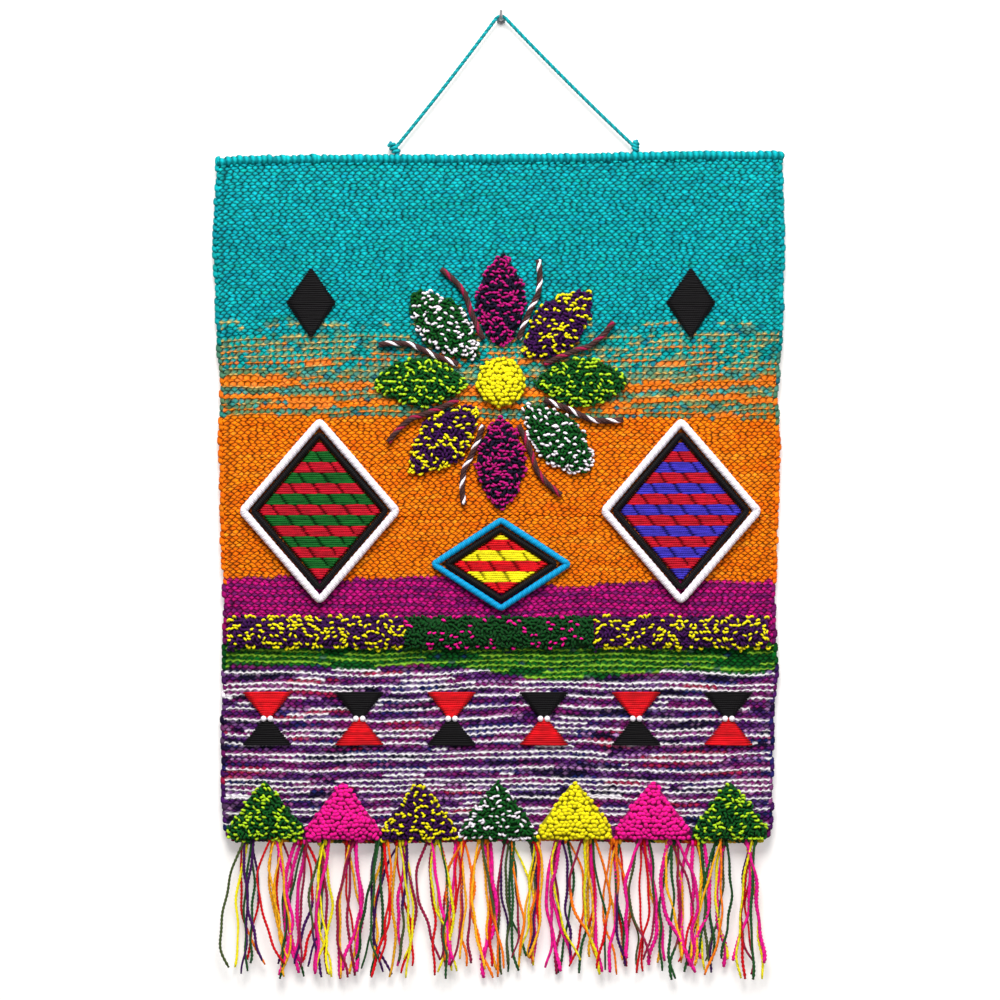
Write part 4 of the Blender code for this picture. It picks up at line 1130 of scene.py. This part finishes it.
def stitches(rows_z, spans, row_colours, seed, joins=True):
    """Laid stitches: level flattened yarns that dip at their ends. spans gives each row's start and end
    x, and each row is cut into lengths whose joins step sideways from row to row."""
    rng = np.random.default_rng(seed)
    starts, ends, heights, tints = [], [], [], []
    for number, (z, (left, right)) in enumerate(zip(rows_z, spans)):
        group = number // STRIPE_ROWS
        middle = (left + right) / 2 + (group * 0.37 % 1.0) * STITCH_LENGTH - 0.0010 * (number % STRIPE_ROWS)
        cuts = middle + np.arange(-8, 9) * STITCH_LENGTH if joins else np.zeros(0)
        cuts = cuts + rng.uniform(-0.0004, 0.0004, cuts.size)
        cuts = cuts[(cuts > left + SHORTEST_STITCH) & (cuts < right - SHORTEST_STITCH)]
        cuts = np.concatenate([[left], cuts, [right]])
        for a, b in zip(cuts[:-1], cuts[1:]):
            starts.append(a)
            ends.append(b)
            heights.append(z)
            tints.append(row_colours[number] * rng.uniform(0.74, 1.08))
    starts, ends, heights = np.array(starts), np.array(ends), np.array(heights)
    t = np.linspace(0.0, 1.0, 8)
    x = starts[:, None] + (ends - starts)[:, None] * t
    waver = rng.uniform(-STITCH_WAVER, STITCH_WAVER, (len(starts), 1))
    z = heights[:, None] + waver * np.sin(t * 4.0 + heights[:, None] * 900.0)
    dip = np.clip(np.minimum(x - starts[:, None], ends[:, None] - x) / STITCH_DIP, 0.0, 1.0) ** 0.6
    y = seat(x, z) - STITCH_LIFT * (0.30 + 0.70 * dip)
    radius = STITCH_PITCH * STITCH_GIRTH * (0.80 + 0.20 * dip)
    paths = np.stack([x, y, z], axis=-1)
    # Painted shade: each stitch darker where it dips at its ends.
    tint = np.array(tints)[:, None, :] * (0.45 + 0.55 * dip)[..., None]
    tint = tint * rng.uniform(0.76, 1.16, x.shape)[..., None]
    return tubes(paths, radius, 6, UPWARDS, tint, flat=0.80)


def lozenge_route(middle, half_width, half_height, offset, blunt=0.03):
    """A closed route that lies the offset outside a lozenge, with its corners rounded off."""
    inner = half_width * half_height / math.hypot(half_width, half_height)
    scale = 1.0 + offset / inner
    corners = np.array(((half_width, 0.0), (0.0, half_height), (-half_width, 0.0), (0.0, -half_height)))
    corners = corners * scale
    points = []
    bends = np.linspace(0, 1, 6, endpoint=False)
    for k in range(4):
        here, ahead, after = corners[k], corners[(k + 1) % 4], corners[(k + 2) % 4]
        start = here + (ahead - here) * blunt
        stop = here + (ahead - here) * (1 - blunt)
        turn = ahead + (after - ahead) * blunt
        points += [start + (stop - start) * t for t in np.linspace(0, 1, 40, endpoint=False)]
        points += [(1 - t) ** 2 * stop + 2 * t * (1 - t) * ahead + t * t * turn for t in bends]
    flat = np.array(points) + np.array(middle)
    return flat[:, 0], flat[:, 1]


def wrapped_cord(name, node, route, radius, colour, finish, seed):
    """A couched cord wound closely with yarn: a closed tube whose radius ripples along a steep helix,
    radius * (1 - 0.12 * (1 - |sin(pi * length / pitch + angle)|))."""
    x, z = route
    route = np.stack([x, seat(x, z) - radius, z], axis=1)
    route = np.concatenate([route, route[:1]])
    route, places = resample(route, WRAP_STEP)
    route = route[:-1]
    rng = np.random.default_rng(seed)
    sides = 10
    swell = 1.0 + 0.035 * np.sin(places[:-1] / 0.009 + seed) + rng.uniform(-0.02, 0.02, len(route))
    tube = tubes(route[None], (radius * swell)[None], sides, BACKWARDS, [colour], closed=True)
    points, polygons, tint = tube[:3]
    angles = np.tile(np.arange(sides) * math.tau / sides, len(route))
    along = np.repeat(places[:-1], sides)
    ripple = np.abs(np.sin(math.pi * along / WRAP_LENGTH + angles))
    middle = np.repeat(route, sides, axis=0)
    points = middle + (points - middle) * (1.0 - WRAP_RIPPLE * (1.0 - ripple))[:, None]
    # Painted shade in the grooves between the wraps.
    tint = tint * (0.55 + 0.45 * ripple**0.7)[:, None]
    phase = along / WRAP_LENGTH * 3 + angles / math.tau
    make_piece(name, node, (points, polygons, tint, phase), finish)


def bead(place, radius, colour):
    """A small round bead: rings of points between two poles, as very short tubes closed at the ends."""
    t = np.linspace(-0.96, 0.96, 7)
    path = np.array(place)[None, None, :] + t[None, :, None] * radius * np.array(SIDEWAYS)
    return tubes(path, radius * np.sqrt(1 - t**2)[None], 10, UPWARDS, [colour])


def lozenge_field(x, z, half_width, half_height, stripes, seed, joins=True):
    """Rows of laid stitches that fill a lozenge in stripes."""
    count = int(2 * half_height * 0.97 / STITCH_PITCH)
    rows = (np.arange(count) - (count - 1) / 2) * STITCH_PITCH
    reach = half_width * (1.0 - np.abs(rows) / half_height)
    tints = [stripes[(number // STRIPE_ROWS) % len(stripes)] for number in range(count)]
    return stitches(z + rows, [(x - w, x + w) for w in reach], tints, seed, joins)


def lozenges(stitch):
    """Striped fields of laid stitches, each inside a dark and a light wrapped cord, and two small sparks."""
    looks = {"lozenge_left": ((CARMINE, GREEN), WHITE, "red_stitch", "white_cord"),
             "lozenge_right": ((BLUE, CARMINE), WHITE, "blue_stitch", "white_cord"),
             "lozenge_middle": ((RED, YELLOW), SKY, "red_stitch", "blue_cord")}
    for seed, (name, x, z, half_width, half_height, outer) in enumerate(LOZENGES):
        stripes, rim, slot, rim_slot = looks[name]
        field = lozenge_field(x, z, half_width, half_height, stripes, 70 + seed)
        make_piece(name + "_stitches", name + "_field", field, stitch)
        inner = INNER_CORD_RADIUS + 2 * GAP
        outward = inner + INNER_CORD_RADIUS + 2 * GAP + outer
        cords = (("_inner", "black_stitch", inner, INNER_CORD_RADIUS, BLACK, 80),
                 ("_outer", rim_slot, outward, outer, rim, 90))
        for kind, cord_slot, offset, radius, colour, first_seed in cords:
            route = lozenge_route((x, z), half_width, half_height, offset)
            wrapped_cord(name + kind + "_wraps", name + kind + "_cord", route, radius, colour,
                         stitch, first_seed + seed)
    for seed, (name, x, z) in enumerate(SMALL_LOZENGES):
        field = lozenge_field(x, z, SPARK_HALF_WIDTH, SPARK_HALF_HEIGHT, (BLACK,), 100 + seed, joins=False)
        make_piece(name + "_stitches", name, field, stitch)


def pile_band(pile):
    """The looped band across the cloth, in three lengths."""
    looks = (("band_left", VIOLET, YELLOW, 0.42, "purple_pile"),
             ("band_middle", DARK_GREEN, HOT_PINK, 0.16, "dark_green_pile"),
             ("band_right", VIOLET, YELLOW, 0.42, "purple_pile"))
    middle = (BAND_TOP + BAND_BOTTOM) / 2
    half = (BAND_TOP - BAND_BOTTOM) / 2
    for k, (name, main, accent, amount, slot) in enumerate(looks):
        start, end = BAND_JOINTS[k], BAND_JOINTS[k + 1]
        x, z = scatter((end - start) / 2, half * 1.1, BAND_PITCH, 50 + k)
        x = x + (start + end) / 2
        share = np.abs(z) / (half * (1.0 + 0.07 * np.sin(x * 190.0 + k) + 0.05 * np.sin(x * 420.0)))
        keep = (share < 1.0) & (x > start) & (x < end)
        x, z, share = x[keep], z[keep], share[keep]
        outward = np.stack([np.zeros(len(z)), np.sign(z)], axis=1)
        loops = pile_loops(x, middle + z, share, outward, PILE_HEIGHT, main, accent, amount, 50 + k, False)
        core_x = np.linspace(start + 0.001, end - 0.001, 50)
        core = np.stack([core_x, seat(core_x, middle) - 0.0002, middle + 0 * core_x], axis=1)
        # The ground is the main colour at 0.5: painted shade between the loops.
        ground = tubes(core[None], half * 0.95, 18, UPWARDS, [main * 0.5], flat=0.48)
        ground[0][:, 1] = np.minimum(ground[0][:, 1], seat(ground[0][:, 0], ground[0][:, 2]) + 0.0002)
        make_piece(name + "_loops", name, joined([ground, loops]), pile)


def hourglass_row(stitch):
    """Small figures of laid stitches, dark over light or light over dark, with two beads at the waist."""
    left = float(left_edge(HOURGLASS_MIDDLE))
    right = float(right_edge(HOURGLASS_MIDDLE))
    for k in range(HOURGLASSES):
        x = left + (right - left) * (k + 0.5) / HOURGLASSES
        count = int(2 * HOURGLASS_HEIGHT / STITCH_PITCH)
        rows = (np.arange(count) - (count - 1) / 2) * STITCH_PITCH
        reach = HOURGLASS_WAIST + HOURGLASS_WIDTH * np.abs(rows) / HOURGLASS_HEIGHT
        upper, lower = (BLACK, RED) if k % 2 else (RED, BLACK)
        tints = [upper if z > 0 else lower for z in rows]
        spans = [(x - w, x + w) for w in reach]
        parts = [stitches(HOURGLASS_MIDDLE + rows, spans, tints, 110 + k, joins=False)]
        for side in (-1, 1):
            bead_x = x + side * BEAD_APART
            place = (bead_x, seat(bead_x, HOURGLASS_MIDDLE) - BEAD_LIFT, HOURGLASS_MIDDLE)
            parts.append(bead(place, BEAD_RADIUS, WHITE))
        make_piece(f"hourglass_{k + 1}_stitches", f"hourglass_{k + 1}",
                   joined(parts), stitch)


def peak_reach(half_base, low, high, half_pitch):
    """Outline of a rounded triangle on its base, seen from a point low above it, kept within its pitch."""
    slope = math.atan2(low + high, half_base)
    side = high * math.cos(slope)
    normals = ((-math.pi / 2, low), (math.pi / 2 - slope, side), (math.pi / 2 + slope, side))

    def reach(a):
        total = sum((np.maximum(0.0, np.cos(a - normal)) / distance) ** 9 for normal, distance in normals)
        return np.minimum(total ** (-1 / 9), half_pitch / np.maximum(np.abs(np.cos(a)), 0.2) / 1.03)
    return reach


def peak_row(pile):
    """Seven pile peaks side by side on the lower edge, two-coloured loops or plain bobbles."""
    looks = ((GREEN, LIME, 0.36, "green_pile", False), (HOT_PINK, HOT_PINK, 0.0, "pink_pile", True),
             (VIOLET, YELLOW, 0.38, "purple_pile", False), (GREEN, WHITE, 0.34, "dark_green_pile", False),
             (YELLOW, YELLOW, 0.0, "yellow_pile", True), (HOT_PINK, HOT_PINK, 0.0, "pink_pile", True),
             (GREEN, LIME, 0.36, "green_pile", False))
    left = float(left_edge(PEAK_BASE)) + PEAK_MARGIN
    right = float(right_edge(PEAK_BASE)) - PEAK_MARGIN
    pitch = (right - left) / PEAKS
    low = PEAK_HEIGHT * PEAK_MIDDLE
    half_base = pitch * 0.5 * PEAK_SPREAD
    for k, (main, accent, amount, slot, bobbles) in enumerate(looks):
        x = left + pitch * (k + 0.5)
        reach = peak_reach(half_base, low + PEAK_OVERHANG, PEAK_HEIGHT - low, pitch / 2 - GAP)
        pile_piece(f"peak_{k + 1}_pile", f"peak_{k + 1}", (x, PEAK_BASE + low), reach, PILE_HEIGHT, main,
                   accent, amount, 60 + k, pile, bobbles)


def bunch_places():
    """The bunches' middles along the lower edge, as in the solids."""
    left = float(left_edge(BOTTOM_EDGE)) + CORNER_CUT
    right = float(right_edge(BOTTOM_EDGE)) - CORNER_CUT
    even = np.linspace(left + FRINGE_MARGIN, right - FRINGE_MARGIN, BUNCHES)
    return left, right, even + np.random.default_rng(7).uniform(-0.0030, 0.0030, BUNCHES)


def strand_route(rng, root_x, tip_x, depth, length):
    """One loose yarn's middle line: x = root + (tip - root) * t ** 1.3 + belly * sin(pi * t ** 0.9) +
    waves that grow from the root, each sway * (sin(start + turns * t) - sin(start)) * t ** 0.6, with a
    slow wander in depth."""
    t = np.linspace(0.0, 1.0, STRAND_POINTS)
    x = root_x + (tip_x - root_x) * t**1.3 + rng.normal(0.0, STRAND_BELLY) * np.sin(math.pi * t**0.9)
    for sway, turns in STRAND_WAVES:
        start = rng.uniform(0, math.tau)
        x = x + sway * rng.uniform(0.4, 1.25) * (np.sin(start + turns * t) - np.sin(start)) * t**0.6
    z = float(bottom_edge(root_x)) + STRAND_START - length * t
    wander = STRAND_WANDER * np.sin(rng.uniform(0, math.tau) + 7.0 * t) * t
    y = -(depth + float(bulge(root_x, z[0]))) + wander
    return np.stack([x, np.minimum(y, BACKMOST), z], axis=1)


def fringe(finish):
    """Loose plied yarns in bunches, small turns of yarn round their roots, and a twined heading, which
    is returned."""
    rng = np.random.default_rng(9)
    left, right, bunches = bunch_places()
    palette = np.array([HOT_PINK, YELLOW, AMBER, ORANGE, RED, LEAF, OLIVE * 0.5, VIOLET, CRIMSON])
    chances = np.array([0.20, 0.10, 0.16, 0.08, 0.12, 0.18, 0.03, 0.05, 0.08])
    parts = []
    knots = []
    for bunch in bunches:
        picks = rng.choice(len(palette), STRANDS_IN_BUNCH, p=chances / chances.sum())
        order = rng.permutation(STRANDS_IN_BUNCH)
        meeting = bunch + rng.normal(0.0, MEETING_SPREAD)
        for pick, place in zip(picks, order):
            share = (place + 0.5) / STRANDS_IN_BUNCH - 0.5
            root_x = bunch + share * BUNCH_WIDTH
            depth = FRINGE_BACK + (FRINGE_FRONT - FRINGE_BACK) * rng.random()
            tip_x = meeting + rng.normal(0.0, TIP_SPREAD)
            length = FRINGE_LENGTH + STRAND_START - rng.uniform(0.0, LENGTH_SPREAD)
            route = strand_route(rng, root_x, tip_x, depth, length)
            along = np.concatenate([[0.0], np.cumsum(np.linalg.norm(np.diff(route, axis=0), axis=1))])
            thick = rng.uniform(0.00150, 0.00195) if pick == 0 else rng.uniform(0.00110, 0.00140)
            ends = np.interp(along / along[-1], (0.0, 0.985, 1.0), (1.0, 1.0, 0.8))
            tint = palette[pick] * rng.uniform(0.78, 1.06)
            redyed = pick > 2 and rng.random() < 0.5
            later = palette[rng.integers(3, len(palette))] if redyed else tint * 1.08
            turn = np.clip((along / along[-1] - rng.uniform(0.3, 0.8)) / 0.06, 0.0, 1.0)[:, None]
            dyed = tint * (1.0 - turn) + later * turn
            # The second ply is painted darker than the first, as painted shade in the grooves between the
            # plies.
            plies = np.stack([dyed, dyed * rng.uniform(0.62, 0.92)])
            parts.append(plied(route, along, thick * ends, 2, STRAND_TURN, 5, BACKWARDS, plies,
                               start=rng.uniform(0, 6)))
            if place % 2 == 0:
                knots.append((root_x, tint))
    knot_x = np.array([knot[0] for knot in knots])
    angles = np.radians(np.linspace(-100, 230, 11))[None, :]
    middle_z = bottom_edge(knot_x) - GAP - STRIP_HEIGHT / 2 + 0.0004
    reach = STRIP_HEIGHT / 2
    paths = np.stack([knot_x[:, None] + 0.0007 * np.cos(angles),
                      middle_depth(knot_x, middle_z)[:, None] - reach * 1.15 * np.cos(angles),
                      middle_z[:, None] + reach * 0.9 * np.sin(angles)], axis=-1)
    parts.append(tubes(paths, ROOT_KNOT_RADIUS, 6, SIDEWAYS, np.array([knot[1] for knot in knots])))
    make_piece("fringe_strands", "fringe", joined(parts), finish)
    x = np.linspace(left + 0.001, right - 0.001, 300)
    z = bottom_edge(x) - HEADING_RADIUS * 0.8
    route, places = resample(np.stack([x, middle_depth(x, z), z], axis=1), HEADING_STEP)
    choice = rng.integers(0, len(palette), (2, int(places[-1] / HEADING_TURN) + 1))
    dyed = palette[choice][:, (places / HEADING_TURN).astype(int)] * 0.6
    plies = plied(route, places, HEADING_RADIUS, 2, HEADING_TURN, 8, BACKWARDS, dyed)
    return make_piece("fringe_heading", "fringe", plies, finish)


def main():
    set_camera()
    set_stage()
    woven = yarn_finish("woven_yarn", sheen=0.0, rough=0.75, shine=0.07)
    pile = yarn_finish("pile_yarn", sheen=0.05, rough=0.90, fuzz=0.9, colour_swing=0.26)
    silky = yarn_finish("laid_yarn", sheen=0.02, rough=0.62, fuzz=0.5, twist_depth=0.8, colour_swing=0.42)
    loose = yarn_finish("fringe_yarn", sheen=0.04, rough=0.72, colour_swing=0.16)

    cord, route, length = hanging_cord(loose)
    knots = [knot_piece(knot, loose) for knot in KNOTS]

    weave = weave_colours()
    middle_row = ROWS // 2
    upper = weave_slab("cloth_upper", 0, middle_row, weave, woven)
    lower = weave_slab("cloth_lower", middle_row, ROWS, weave, woven)
    roll = rolled_edge(woven)
    sides = [selvedge("selvedge_left", -1, weave[0], woven), selvedge("selvedge_right", 1, weave[0], woven)]
    heading = fringe(loose)

    rosette(pile, silky)
    lozenges(silky)
    pile_band(pile)
    hourglass_row(silky)
    peak_row(pile)

    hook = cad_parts["wall_hook"]
    hook.data.materials.clear()
    hook.data.materials.append(steel_finish())


main()
